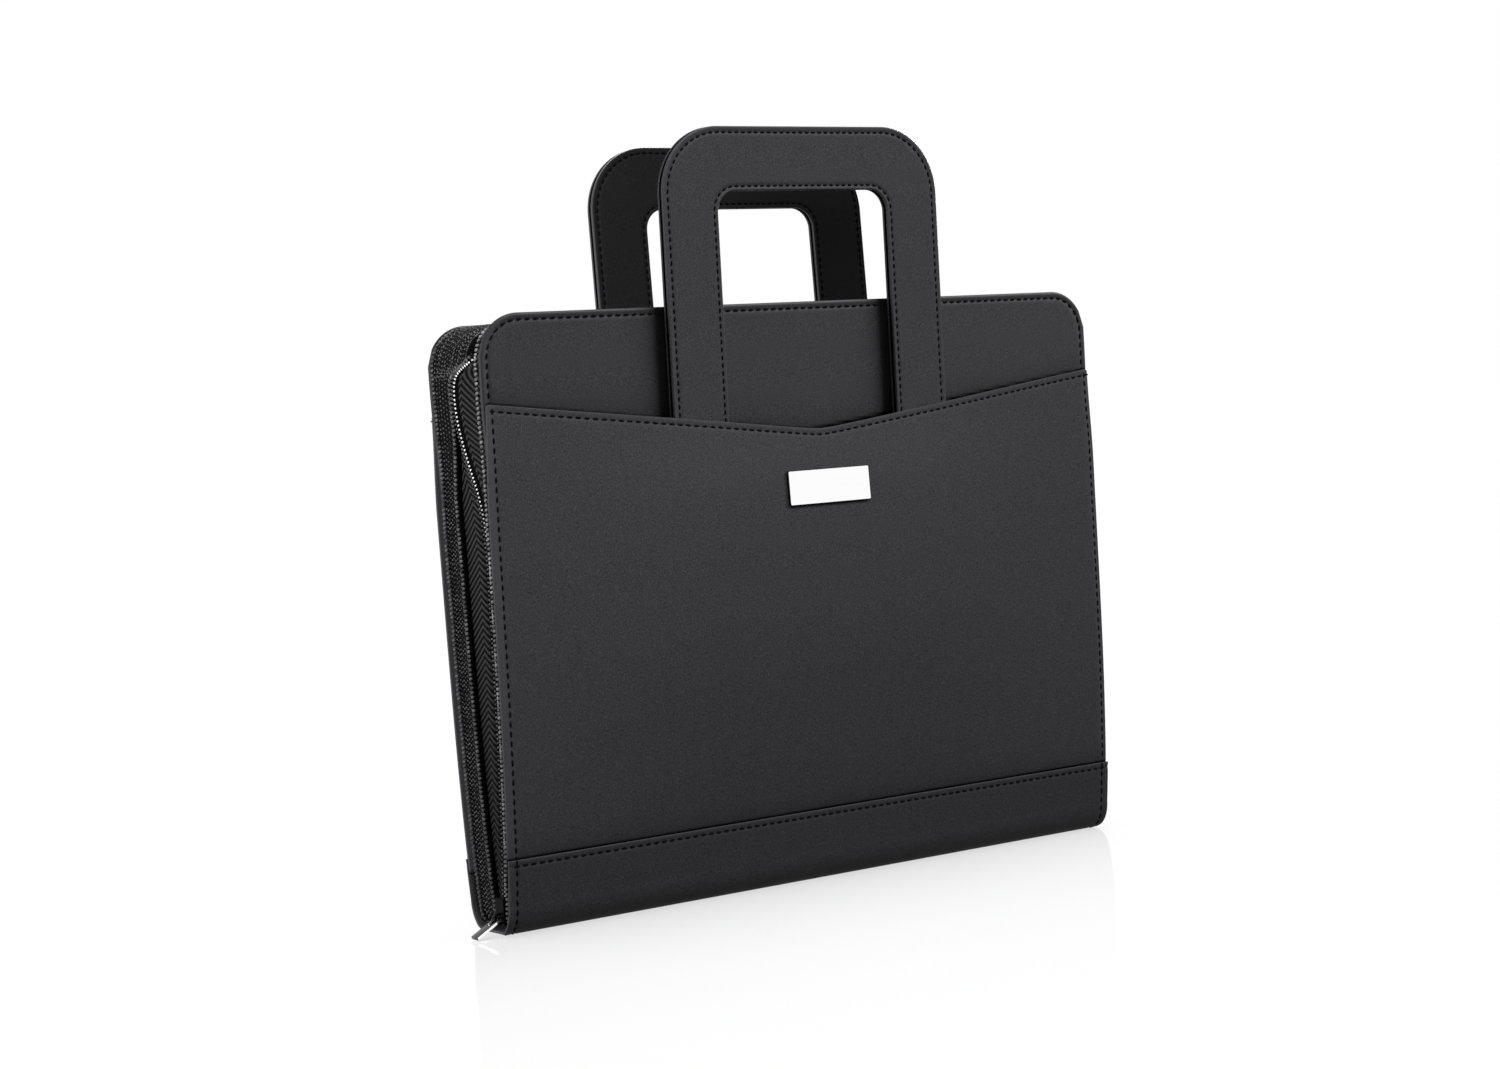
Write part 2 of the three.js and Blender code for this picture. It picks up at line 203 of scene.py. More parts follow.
KNOT_ROWS = 6
# More rows from this way along the rim over the top
TOP_KNOT_ROWS = 14
TOP_KNOTS_FROM = -6

# Piping
PIPING_PITCH = 2.0
FRONT_PIPING_PITCH = 2.1
PIPING_SIZE = (0.8, 1.2, 0.7)
# Depth from the cover's inner face and height over the tapes
FRONT_PIPING = (3.1, 0.5)
BACK_PIPING_LOW = (-0.8, 1.3)
BACK_PIPING_HIGH = (0.5, 0.2)
BACK_PIPING_AT = (170, 232)
MIDDLE_PIPING_PROUD = 0.5
FRONT_SINK_AT = (14, 24)
# How far the front piping swings on to the cover's edge past the slider, and between which heights
FOOT_PIPING = (4.2, 1.4)
FOOT_FROM = (2, 7)
FOOT_TO = (14, 26)

# Metal: faces as large as a square of FLAT_FROM stay flat
SHARP_ANGLE = math.radians(35)
METAL_ROUND = 0.3
FLAT_FROM = 1.2


# Curves and steps
def smooth(rows, at):
    """Values on a smooth line through (place, value) rows, level past its ends."""
    places, values = np.array(rows, float).T
    run, rise = (np.pad(part, 1, mode="edge") for part in (places, values))
    slopes = (rise[2:] - rise[:-2]) / (run[2:] - run[:-2])
    at = np.clip(at, places[0], places[-1])
    n = np.clip(np.searchsorted(places, at) - 1, 0, len(places) - 2)
    width = places[n + 1] - places[n]
    t = (at - places[n]) / width
    ease = t * t * (3 - 2 * t)
    pull = t * (1 - t) ** 2 * slopes[n] + t * t * (t - 1) * slopes[n + 1]
    return values[n] + (values[n + 1] - values[n]) * ease + width * pull


def smoothstep(at, low, high):
    t = np.clip((at - low) / (high - low), 0, 1)
    return t * t * (3 - 2 * t)


def fading(distance, reach):
    """1 at a line, fading away from it."""
    return np.exp(-np.maximum(distance, 0) / reach)


def crease_shade(distance):
    """Painted shade: black right next to an overlying edge, and softer further out."""
    soft = fading(distance, CREASE_REACH) * CREASE_SOFT
    return np.maximum(fading(distance - CREASE_HALF, CREASE_FADE), soft)


def corner_cut(radius, from_edge):
    """How far a rounded corner cuts in, at a distance from the straight edge beyond it."""
    inside = np.clip(radius - from_edge, 0, radius)
    return radius - np.sqrt(radius**2 - inside**2)


def groove(away):
    """Depth of the channel that a row of stitches pulls into the leatherette."""
    return SEAM_DEPTH * np.exp(-((away / SEAM_WIDTH) ** 2))


def steps_from_edge(length, spacing):
    """Places from a turned edge inwards: close together at the edge, `spacing` apart past it."""
    start = EDGE_STEPS[-1]
    rest = np.linspace(start, length, max(2, round((length - start) / spacing) + 1))
    return np.concatenate([EDGE_STEPS[:-1], rest])


def together(*parts):
    """Coordinates side by side, with single numbers repeated."""
    return np.stack(np.broadcast_arrays(*parts), -1)


def cover_face(height):
    return smooth(COVER_PROFILE, height)


def cover_spread(height):
    """How much wider a cover's half grows above the pockets."""
    return COVER_SPREAD * smoothstep(height, *COVER_SPREAD_AT)


def on_side(side, points):
    """The back is the front turned half round the upright axis, a little lower."""
    return points if side == "front" else points * [-1, -1, 1] - [0, 0, BACK_DROP]


# Meshes
def new_object(name, data):
    """An object of the scene."""
    made = bpy.data.objects.new(name, data)
    bpy.context.scene.collection.objects.link(made)
    return made


def squares(grid):
    """Faces between the neighbouring points of a grid of point numbers."""
    corners = [grid[:-1, :-1], grid[:-1, 1:], grid[1:, 1:], grid[1:, :-1]]
    return np.stack(corners, -1).reshape(-1, 4)


def make_piece(name, points, faces, finish, uv=None, shades=None):
    """A closed smooth mesh at the origin, from points in millimetres."""
    mesh = bpy.data.meshes.new(name)
    mesh.from_pydata((points * MM).tolist(), [], [list(face) for face in faces])
    worked = bmesh.new()
    worked.from_mesh(mesh)
    bmesh.ops.recalc_face_normals(worked, faces=worked.faces)
    worked.to_mesh(mesh)
    worked.free()
    for key, values in (shades or {}).items():
        mesh.attributes.new(key, "FLOAT", "POINT").data.foreach_set("value", values.astype(np.float32))
    if uv is not None:
        corner = np.zeros(len(mesh.loops), np.int32)
        mesh.loops.foreach_get("vertex_index", corner)
        mesh.uv_layers.new(name="cloth").data.foreach_set("uv", uv[corner].astype(np.float32).ravel())
    mesh.polygons.foreach_set("use_smooth", np.ones(len(mesh.polygons), bool))
    mesh.materials.append(finish)
    return new_object(name, mesh)


def make_wall(name, outer, inner, finish, uv=None, shades=None):
    """A closed wall between two grids of points, rows by columns.

    Shades are grids too, and the painted shade darkens the outer face alone."""
    rows, columns = outer.shape[:2]
    front = np.arange(rows * columns).reshape(rows, columns)
    behind = front + rows * columns
    rim = np.concatenate([front[0, :-1], front[:-1, -1], front[-1, :0:-1], front[:0:-1, 0]])
    after = np.roll(rim, -1)
    sides = np.stack([rim, rim + rows * columns, after + rows * columns, after], -1)
    faces = np.concatenate([squares(front), squares(behind)[:, ::-1], sides])
    points = np.concatenate([outer.reshape(-1, 3), inner.reshape(-1, 3)])
    both_uv = None if uv is None else np.tile(uv.reshape(-1, 2), (2, 1))
    both_shades = {}
    for key, grid in (shades or {}).items():
        inside = np.zeros(grid.size) if key == "painted_shade" else grid.ravel()
        both_shades[key] = np.concatenate([grid.ravel(), inside])
    return make_piece(name, points, faces, finish, both_uv, both_shades)


# Node trees
def math_method(operation, turned=False):
    """A method of Wire that adds a Math node, with the two values turned round if asked."""
    def joined(wire, other):
        values = (other, wire) if turned else (wire, other)
        return wire.maths(operation, *values)

    return joined


class Wire:
    """A node's output that takes part in sums: each operator adds a Math node."""

    def __init__(self, bench, socket):
        self.bench = bench
        self.socket = socket

    def also(self, name):
        """Another output of the same node."""
        return Wire(self.bench, self.socket.node.outputs[name])

    def maths(self, operation, *values):
        return self.bench.node("ShaderNodeMath", {"operation": operation}, dict(enumerate(values)))

    __add__ = __radd__ = math_method("ADD")
    __mul__ = __rmul__ = math_method("MULTIPLY")
    __sub__ = math_method("SUBTRACT")
    __rsub__ = math_method("SUBTRACT", turned=True)
    __truediv__ = math_method("DIVIDE")
    __pow__ = math_method("POWER")
    at_least = math_method("MAXIMUM")
    at_most = math_method("MINIMUM")

    def __abs__(self):
        return self.maths("ABSOLUTE", self)

    def sine(self):
        return self.maths("SINE", self)

    def clamped(self):
        return self.at_least(0.0).at_most(1.0)


class Bench:
    """A node tree that is being wired up."""

    def __init__(self, tree, finish=None):
        self.tree = tree
        self.finish = finish

    def node(self, kind, settings=None, sockets=None, out=0):
        """Any node: its settings are set first, then its sockets get values or links."""
        made = self.tree.nodes.new(kind)
        for key, value in (settings or {}).items():
            setattr(made, key, value)
        for key, value in (sockets or {}).items():
            if isinstance(value, Wire):
                self.tree.links.new(value.socket, made.inputs[key])
            else:
                made.inputs[key].default_value = value
        return Wire(self, made.outputs[out]) if made.outputs else made

    def mix(self, share, first, second):
        """A colour between two colours."""
        sockets = {0: share, 6: first, 7: second}
        return self.node("ShaderNodeMix", {"data_type": "RGBA"}, sockets, out=2)

    def noise(self, where, scale, detail=2.0):
        sockets = {"Vector": where, "Scale": scale, "Detail": detail}
        return self.node("ShaderNodeTexNoise", sockets=sockets)

    def attribute(self, name):
        return self.node("ShaderNodeAttribute", {"attribute_name": name}, out="Fac")

    def part(self, vector, axis):
        """One coordinate of a vector."""
        return self.node("ShaderNodeSeparateXYZ", sockets={"Vector": vector}, out=axis)

    def plain(self, colour, roughness, bump=None, specular=0.5, metallic=0.0):
        """A plain shader; `bump` is a height, its strength and its distance."""
        sockets = {
            "Base Color": colour, "Roughness": roughness,
            "Specular IOR Level": specular, "Metallic": metallic,
        }
        if bump:
            relief = dict(zip(("Height", "Strength", "Distance"), bump))
            sockets["Normal"] = self.node("ShaderNodeBump", sockets=relief)
        return self.node("ShaderNodeBsdfPrincipled", sockets=sockets)

    def close(self, shader):
        """Ends a material in a shader."""
        self.node("ShaderNodeOutputMaterial", sockets={"Surface": shader})
        return self.finish

    def close_plain(self, *values, **more):
        return self.close(self.plain(*values, **more))


# Finishes
BLUISH = 0.08
BLACK = 0.0005
# How far the painted shade on the handles' inner faces goes towards black
INNER_SHADE_SHARE = 0.6
EDGE_SHARE = 0.5
# The share of light left at the floor, and the height in metres from which it falls off
DIM_FOOT = 0.3
DIM_BELOW = 0.15
# Herringbone, in millimetres from the edge of the tape
TAPE_APEX = 6
FRONT_TAPE_SHIFT = 3.5
RIB_SLANT = 0.6
RIB_PITCH = 3.0
# Heights in metres: a painted shade darkens the coil in its fold below the first one
COIL_SHADE_TO = 0.17
COIL_FADE = 0.03
# Where the painted reflection on the pull's face turns from dark to grey, as a share of its width, and how
# steeply
PULL_TURN = 0.35
PULL_STEEP = 4.0
# The floor's mirror image fades away from the foot of the case; distances in metres
FLOOR_MIRROR = 0.2
FLOOR_SIDE = 0.173
FLOOR_NEAR = 0.017
FLOOR_FADE = 0.14
FLOOR_POWER = -1.6
FLOOR_BOUNCE = 0.08


def new_finish(name):
    """The bench of an empty material, and the place on the piece."""
    finish = bpy.data.materials.new(name)
    finish.use_nodes = True
    finish.node_tree.nodes.clear()
    bench = Bench(finish.node_tree, finish)
    return bench, bench.node("ShaderNodeTexCoord", out="Object")


def grey(value, blue=0.0):
    """A near-neutral colour with a little more blue."""
    return (value, value, value * (1 + blue), 1.0)


def leatherette_finish():
    """Smooth matt leatherette: fine grain, faint mottling, paler where an edge is turned, from wear and a
    painted highlight.

    A painted shade turns the inner faces of the handles a deeper black and creases black."""
    bench, where = new_finish("leatherette")
    pebbles = bench.node(
        "ShaderNodeTexVoronoi", {"feature": "F1"}, {"Vector": where, "Scale": 1500.0}, out="Distance"
    )
    pores = bench.noise(where, scale=1900.0, detail=3.0)
    mottle = bench.noise(where, scale=55.0, detail=4.0)
    edge = bench.attribute("edge")
    tone = bench.mix(mottle, grey(0.0068, BLUISH), grey(0.0088, BLUISH))
    speckled = bench.mix(((pores - 0.38) * 3.0).clamped(), tone, grey(0.021, BLUISH))
    # Paler turned edges: partly wear, partly a painted highlight
    worn_and_highlit = bench.mix(edge * EDGE_SHARE, speckled, grey(0.022, BLUISH))
    inner_shaded = bench.mix(bench.attribute("inner_face_shade") * INNER_SHADE_SHARE, worn_and_highlit, grey(BLACK))
    roughness = 0.55 + mottle * 0.12 - edge * 0.08
    relief = pebbles * 0.6 + pores * 0.5
    leather = bench.plain(inner_shaded, roughness, bump=(relief, 0.35, 0.00006), specular=0.06)
    # Painted shade: creases, the band and the ply groove of the handles are mixed towards this black
    hollow_shade = bench.node("ShaderNodeBsdfDiffuse", sockets={"Color": grey(BLACK)})
    painted_shade = bench.attribute("painted_shade").clamped()
    return bench.close(bench.node("ShaderNodeMixShader", sockets={0: painted_shade, 1: leather, 2: hollow_shade}))


def thread_finish():
    """Black sewing thread with a fine fibrous surface."""
    bench, where = new_finish("thread")
    fibres = bench.noise(where, scale=5200.0, detail=1.0)
    colour = bench.mix(fibres, grey(0.0002), grey(0.001))
    return bench.close_plain(colour, 0.6 + fibres * 0.2, bump=(fibres, 0.4, 0.00008), specular=0.02)


def cloth_place(bench):
    """Way along and across a woven strip, in millimetres."""
    uv = bench.node("ShaderNodeUVMap", {"uv_map": "cloth"})
    return bench.part(uv, "X"), bench.part(uv, "Y")


def lit_from_above(bench, where, foot_share):
    """A share that falls off towards the foot of the case, where less light gets in."""
    return (bench.part(where, "Z") / DIM_BELOW).clamped() * (1.0 - foot_share) + foot_share


def herringbone_finish():
    """Woven zip tape: slanting ribs that meet in a point along its middle line."""
    bench, where = new_finish("herringbone")
    along, across = cloth_place(bench)
    slanted = along + abs(across - TAPE_APEX) * RIB_SLANT
    ribs = (slanted * (2 * math.pi / RIB_PITCH)).sine() * 0.5 + 0.5
    fibres = bench.noise(where, scale=2600.0)
    shade = ribs**2.0 * (0.6 + fibres * 0.8) * lit_from_above(bench, where, DIM_FOOT)
    colour = bench.mix(shade.clamped(), grey(BLACK), grey(0.07))
    relief = ribs + fibres * 0.3
    return bench.close_plain(colour, 0.85 - ribs * 0.2, bump=(relief, 0.7, 0.0002), specular=0.05)


def webbing_finish():
    """Coarse black webbing: staggered knots with dark gaps between them."""
    bench, where = new_finish("webbing")
    along, across = cloth_place(bench)
    turn = math.pi / KNOT_PITCH
    knots = ((along + across) * turn).sine() * ((along - across) * turn).sine()
    fibres = bench.noise(where, scale=900.0, detail=3.0)
    raised = (abs(knots) * (0.35 + fibres * 1.3)).clamped()
    # Painted shade darkens the webbing over the top corner
    seen = raised**2.0 * (1.0 - bench.attribute("painted_shade"))
    colour = bench.mix(seen, grey(0.0004), grey(0.003))
    return bench.close_plain(colour, 0.75 - raised * 0.25, bump=(raised, 0.9, 0.0003), specular=0.04)


def cord_finish(name, dark, pale, foot_share):
    """Thick thread, a little glossy, with fibres between two greys, darker stretches and a painted shade
    towards the foot.
    """
    bench, where = new_finish(name)
    fibres = bench.noise(where, scale=4200.0)
    patches = bench.noise(where, scale=420.0)
    clear = ((patches - 0.35) * 3.3).clamped() * lit_from_above(bench, where, foot_share)
    colour = bench.mix(clear, grey(dark * 0.2), bench.mix(fibres, grey(dark), grey(pale)))
    return bench.close_plain(colour, 0.38 + fibres * 0.2, bump=(fibres, 0.3, 0.0001), specular=0.2)


def coil_finish():
    """Glossy zip teeth, darkened by a painted shade low down in their fold."""
    bench, where = new_finish("coil")
    scuffs = bench.noise(where, scale=700.0)
    out_of_shade = ((bench.part(where, "Z") - COIL_SHADE_TO) / COIL_FADE).clamped()
    colour = bench.mix(out_of_shade * (0.7 + scuffs * 0.3), grey(0.16), grey(0.9))
    return bench.close_plain(colour, 0.2 + scuffs * 0.15, bump=(scuffs, 0.1, 0.0001), metallic=0.85)


def metal_finish(name, dark, pale, roughness, metallic):
    """Metal with faint polishing marks along X, bare or under a coat of paint."""
    bench, where = new_finish(name)
    stretched = bench.node("ShaderNodeMapping", sockets={"Vector": where, "Scale": (60.0, 900.0, 900.0)})
    marks = bench.noise(stretched, scale=1.0, detail=3.0)
    colour = bench.mix(marks, grey(dark), grey(pale))
    bump = (marks, 0.04, 0.00005)
    return bench.close_plain(colour, roughness + marks * 0.06, bump, specular=0.02, metallic=metallic)


def pull_finish():
    """The pull's broad faces: polished metal with a painted reflection, black at the front edge shading to
    grey.
    """
    bench, where = new_finish("pull_face")
    low, high = PULL_FRONT * MM, PULL_REAR * MM
    share = (((bench.part(where, "Y") - low) / (high - low) - PULL_TURN) * PULL_STEEP).clamped()
    return bench.close_plain(bench.mix(share, grey(0.004), grey(0.07)), 0.12 + share * 0.1, metallic=1.0)


def floor_finish():
    """White table top that mirrors faintly and throws little light back."""
    bench, where = new_finish("pale_floor")
    thrown_back = bench.node("ShaderNodeLightPath", out="Is Diffuse Ray")
    white = bench.mix(bench.noise(where, scale=3.0), grey(0.87), grey(0.88))
    seen = bench.mix(thrown_back, white, grey(FLOOR_BOUNCE))
    matt = bench.node("ShaderNodeBsdfDiffuse", sockets={"Color": seen})
    mirror = bench.node("ShaderNodeBsdfGlossy", sockets={"Color": grey(1.0), "Roughness": 0.06})
    beside = abs(bench.part(where, "X")) - FLOOR_SIDE
    away = beside.at_least(abs(bench.part(where, "Y")) - FLOOR_NEAR).at_least(0.0)
    share = (away / FLOOR_FADE + 1.0) ** FLOOR_POWER * FLOOR_MIRROR
    return bench.close(bench.node("ShaderNodeMixShader", sockets={0: share, 1: matt, 2: mirror}))


LEATHERETTE = leatherette_finish()
THREAD = thread_finish()
HERRINGBONE = herringbone_finish()
WEBBING = webbing_finish()
PIPING = cord_finish("piping", dark=0.08, pale=0.4, foot_share=DIM_FOOT)
PALE_PIPING = cord_finish("pale_piping", dark=0.2, pale=0.8, foot_share=DIM_FOOT)
KNOTS = cord_finish("knots", dark=0.03, pale=0.34, foot_share=0.9)
COIL = coil_finish()
POLISHED = metal_finish("polished_metal", dark=0.95, pale=0.99, roughness=0.03, metallic=1.0)
PULL_FACE = pull_finish()
DARK_METAL = metal_finish("dark_metal", dark=0.0015, pale=0.004, roughness=0.35, metallic=0.0)

# Rows of small things along lines
SEED = 7


def row_tree():
    """Geometry nodes that set one rounded bead after another along every line of a piece."""
    tree = bpy.data.node_groups.new("beads_along_lines", "GeometryNodeTree")
    for name, kind in [
        ("Lines", "Geometry"), ("Pitch", "Float"), ("Size", "Vector"), ("Slant", "Float"),
        ("Wander", "Float"), ("Finish", "Material"), ("Segments", "Int"), ("Rings", "Int"),
    ]:
        tree.interface.new_socket(name, in_out="INPUT", socket_type="NodeSocket" + kind)
    tree.interface.new_socket("Beads", in_out="OUTPUT", socket_type="NodeSocketGeometry")
    bench = Bench(tree)
    given = bench.node("NodeGroupInput")

    def geometry(kind, settings=None, **sockets):
        return bench.node("GeometryNode" + kind, settings, sockets)

    def turning(kind, sockets, settings=None, out=0):
        return bench.node("FunctionNode" + kind, settings, sockets, out)

    curve = geometry("MeshToCurve", Mesh=given)
    spaced = geometry("ResampleCurve", {"mode": "LENGTH"}, Curve=curve, Length=given.also("Pitch"))
    points = geometry("CurveToPoints", {"mode": "EVALUATED"}, Curve=spaced)
    outward = geometry("InputNamedAttribute", {"data_type": "FLOAT_VECTOR"}, Name="outward")
    forwards = turning("AlignRotationToVector", {"Vector": points.also("Tangent")}, {"axis": "X"})
    standing = {"Rotation": forwards, "Vector": outward}
    upright = turning("AlignRotationToVector", standing, {"axis": "Z", "pivot_axis": "X"})
    wander = given.also("Wander")
    limits = {2: wander * -1.0, 3: wander, "Seed": SEED}
    chance = turning("RandomValue", limits, {"data_type": "FLOAT"}, out=1)
    slant = turning("AxisAngleToRotation", {"Axis": (0, 0, 1), "Angle": given.also("Slant") + chance})
    both = {"Rotation": upright, "Rotate By": slant}
    turned = turning("RotateRotation", both, {"rotation_space": "LOCAL"})
    ball = geometry("MeshUVSphere", Segments=given.also("Segments"), Rings=given.also("Rings"), Radius=1.0)
    bead = geometry("Transform", Geometry=ball, Scale=given.also("Size"))
    placed = geometry("InstanceOnPoints", Points=points, Instance=bead, Rotation=turned)
    solid = geometry("RealizeInstances", Geometry=placed)
    rounded = geometry("SetShadeSmooth", Geometry=solid)
    finished = geometry("SetMaterial", Geometry=rounded, Material=given.also("Finish"))
    bench.node("NodeGroupOutput", sockets={"Beads": finished})
    return tree


ROW_TREE = row_tree()


def make_row(name, lines, pitch, size, finish, slant=0.0, wander=0.0, facets=(8, 6)):
    """Beads along lines, each a pair of arrays: its points and the ways outwards there."""
    points = np.concatenate([line for line, _ in lines]) * MM
    outward = np.concatenate([np.broadcast_to(out, line.shape) for line, out in lines])
    starts = np.cumsum([0] + [len(line) for line, _ in lines])
    edges = [(i, i + 1) for a, b in zip(starts, starts[1:]) for i in range(a, b - 1)]
    mesh = bpy.data.meshes.new(name)
    mesh.from_pydata(points.tolist(), edges, [])
    mesh.attributes.new("outward", "FLOAT_VECTOR", "POINT").data.foreach_set(
        "vector", np.ascontiguousarray(outward, np.float32).ravel()
    )
    guide = new_object(name + "_guide", mesh)
    rows = guide.modifiers.new("rows", "NODES")
    rows.node_group = ROW_TREE
    values = {
        "Pitch": pitch * MM, "Size": [part * MM for part in size], "Slant": slant, "Wander": wander,
        "Finish": finish, "Segments": facets[0], "Rings": facets[1],
    }
    for item in ROW_TREE.interface.items_tree:
        if item.name in values:
            rows[item.identifier] = values[item.name]
    graph = bpy.context.evaluated_depsgraph_get()
    made = bpy.data.meshes.new_from_object(guide.evaluated_get(graph))
    bpy.data.objects.remove(guide)
    made.name = name
    return new_object(name, made)


PIECES = []


def add(piece, body, slot=None, *nodes):
    """The piece rides on a body and may stand for solids; its finish slot is not used."""
    PIECES.append(piece)
    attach(piece, body)
    if nodes:
        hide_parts(*nodes)


def sew(name, lines, body, pitch=STITCH_PITCH, size=STITCH_SIZE):
    """Stitches of black thread along lines."""
    add(make_row(name, lines, pitch, size, THREAD, wander=0.05), body)


def add_panel(side, kind, x, z, face, wall, fall, seam, shades):
    """A sewn panel of a side: `face` is its distance from the middle plane, `fall` rounds its edges."""
    outer = on_side(side, together(x, fall + groove(away_from(x, z, seam)) - face, z))
    inner = on_side(side, together(x, wall - fall - face, z))
    panel = make_wall(f"{side}_{kind}_panel", outer, inner, LEATHERETTE, shades=shades)
    add(panel, "case", "leatherette", f"{side}_{kind}")
    return panel


# Covers
def from_cover_edge(x, z):
    """Distance from a cover's outline, with its two round top corners."""
    reach = COVER_REACH + cover_spread(z)
    across = np.abs(x) - (reach - COVER_CORNER)
    above = z - (COVER_TOP - COVER_CORNER)
    straight = np.minimum(reach - np.abs(x), COVER_TOP - z)
    in_corner = (across > 0) & (above > 0)
    return np.where(in_corner, COVER_CORNER - np.hypot(across, above), straight)


def cover_seam():
    """The sewn row round a cover, from its left foot over the top to its right foot."""
    turn = np.linspace(0, math.pi / 2, num=24)
    wide, tall = COVER_CORNER - COVER_SEAM_SIDE, COVER_CORNER - COVER_SEAM_TOP
    x = COVER_REACH - COVER_CORNER + wide * np.cos(turn)
    z = COVER_TOP - COVER_CORNER + tall * np.sin(turn)
    rise = np.linspace(BAND_TOP, z[0], num=160)[:-1]
    right = np.concatenate([together(x[0], rise), together(x, z)])
    right[:, 0] += cover_spread(right[:, 1])
    top = np.linspace(-right[-1, 0], right[-1, 0], num=220)[1:-1]
    return np.concatenate([right * [-1, 1], together(top, z[-1]), right[::-1]])


def away_from(x, z, seam):
    """Distance of grid points from the nearest point of a seam."""
    flat = together(x.ravel(), z.ravel())
    apart = [np.min(np.hypot(*(seam - point).T)) for point in flat]
    return np.array(apart).reshape(x.shape)


def mirrored_columns(left):
    """Columns from the left edge to the middle, and the same to the right."""
    return np.concatenate([left, -left[:, -2::-1]], axis=1)


def cover_panel(side):
    inwards = steps_from_edge(COVER_REACH, spacing=11)
    heights = COVER_TOP - steps_from_edge(COVER_TOP - COVER_FOOT, spacing=8)
    below, above = CLOSE_BY_MOUTH
    by_mouth = np.arange(POCKET_MIDDLE_TOP - below, POCKET_SIDE_TOP + above, CLOSE_ROWS)
    heights = np.unique(np.concatenate([heights, by_mouth]))[::-1]
    cut = corner_cut(COVER_CORNER, COVER_TOP - heights)[:, None]
    x = mirrored_columns(inwards - COVER_REACH + cut * (1 - inwards / COVER_REACH))
    z = np.broadcast_to(heights[:, None], x.shape)
    x = x * (1 + cover_spread(z) / COVER_REACH)
    from_edge = np.maximum(from_cover_edge(x, z), 0)
    fall = corner_cut(COVER_ROLL, from_edge)
    # A paler hem from wear and a painted highlight, and painted shade above the pocket's mouth
    shades = {
        "edge": fading(COVER_REACH + cover_spread(z) - np.abs(x) - HEM_HALF, EDGE_FADE),
        "painted_shade": crease_shade(z - pocket_edge(x)) * smoothstep(from_edge, *CREASE_FROM_EDGE),
    }
    add_panel(side, "cover", x, z, cover_face(z), COVER_WALL, fall, cover_seam(), shades)


# Pockets
def pocket_edge(x):
    """Height of the V-shaped mouth, softened at its point."""
    share = (np.hypot(x, VEE_ROUND) - VEE_ROUND) / (np.hypot(POCKET_REACH, VEE_ROUND) - VEE_ROUND)
    return POCKET_MIDDLE_TOP + (POCKET_SIDE_TOP - POCKET_MIDDLE_TOP) * share


def pocket_face(x, z):
    """Distance from the middle plane to a pocket's outer face."""
    share = 1 - smoothstep(np.abs(x), POCKET_FLAT, POCKET_SEWN)
    return cover_face(z) + GAP + LEATHER + share * smooth(POCKET_BULGE, z)


def pocket_reach(z):
    return POCKET_REACH - POCKET_TAPER * smoothstep(z, POCKET_TAPER_FROM, POCKET_SIDE_TOP)


def pocket_seams():
    """The row under the mouth and the rows down both sides."""
    left, right = POCKET_SEAM_LEFT - POCKET_REACH, POCKET_REACH - POCKET_SEAM_RIGHT
    x = np.linspace(left, right, num=260)
    seams = [together(x, pocket_edge(x) - POCKET_SEAM_TOP)]
    for end in (left, right):
        z = np.linspace(pocket_edge(end) - POCKET_SEAM_TOP, BAND_TOP, num=150)
        taper = pocket_reach(z) - POCKET_REACH if end == right else 0
        seams.append(together(end + taper, z))
    return seams


def pocket_panel(side):
    inwards = steps_from_edge(POCKET_REACH, spacing=8)
    plain = POCKET_MIDDLE_TOP - POCKET_FOOT
    first, last = CLOSE_BY_FOOT
    by_band = np.arange(plain - first, plain - last, CLOSE_ROWS)
    below = np.unique(np.concatenate([steps_from_edge(plain, spacing=6), by_band]))[:, None]
    flat_x = mirrored_columns((inwards - POCKET_REACH)[None, :])
    top = pocket_edge(flat_x) - corner_cut(POCKET_CORNER, POCKET_REACH - np.abs(flat_x))
    z = top - below - (top - POCKET_FOOT - plain) * (below / plain) ** 2
    x = flat_x * pocket_reach(z) / POCKET_REACH
    from_side = pocket_reach(z) - np.abs(x)
    from_edge = np.maximum(np.minimum(from_side, top - z), 0)
    fall = corner_cut(LEATHER_ROLL, from_edge)
    seam = np.concatenate(pocket_seams())
    # Paler hem and mouth from wear and a painted highlight, painted shade above the band's edge and black
    # beneath it
    hem = fading(from_side - HEM_HALF, EDGE_FADE)
    mouth = fading(top - z, EDGE_FADE) * MOUTH_PALE
    shades = {"edge": np.maximum(mouth, hem), "painted_shade": crease_shade(z - BAND_TOP)}
    panel = add_panel(side, "pocket", x, z, pocket_face(x, z), LEATHER, fall, seam, shades)


# Spine band
def band_section():
    """The band's section from its front edge to its back edge: y, z, way out and distance from the edge."""
    rows = []
    for way, drop in [(-1, 0), (1, BACK_DROP)]:
        down = steps_from_edge(BAND_TOP - drop - BASE_ROUND, spacing=2)
        z = BAND_TOP - drop - down
        half = cover_face(z + drop) + BAND_STAND_OFF
        wall = together(way * half, z, way, 0, down)
        turn = np.linspace(0, math.pi / 2, num=15)[1:]
        swell = half[-1] - BASE_HALF
        arc = down[-1] + turn * BASE_ROUND
        y = way * (BASE_HALF + swell * np.cos(turn))
        low = BASE_ROUND * (1 - np.sin(turn))
        curve = together(y, low, way * np.cos(turn), -np.sin(turn), arc)
        rows.append(np.concatenate([wall, curve]))
    return np.concatenate([rows[0], rows[1][::-1]])


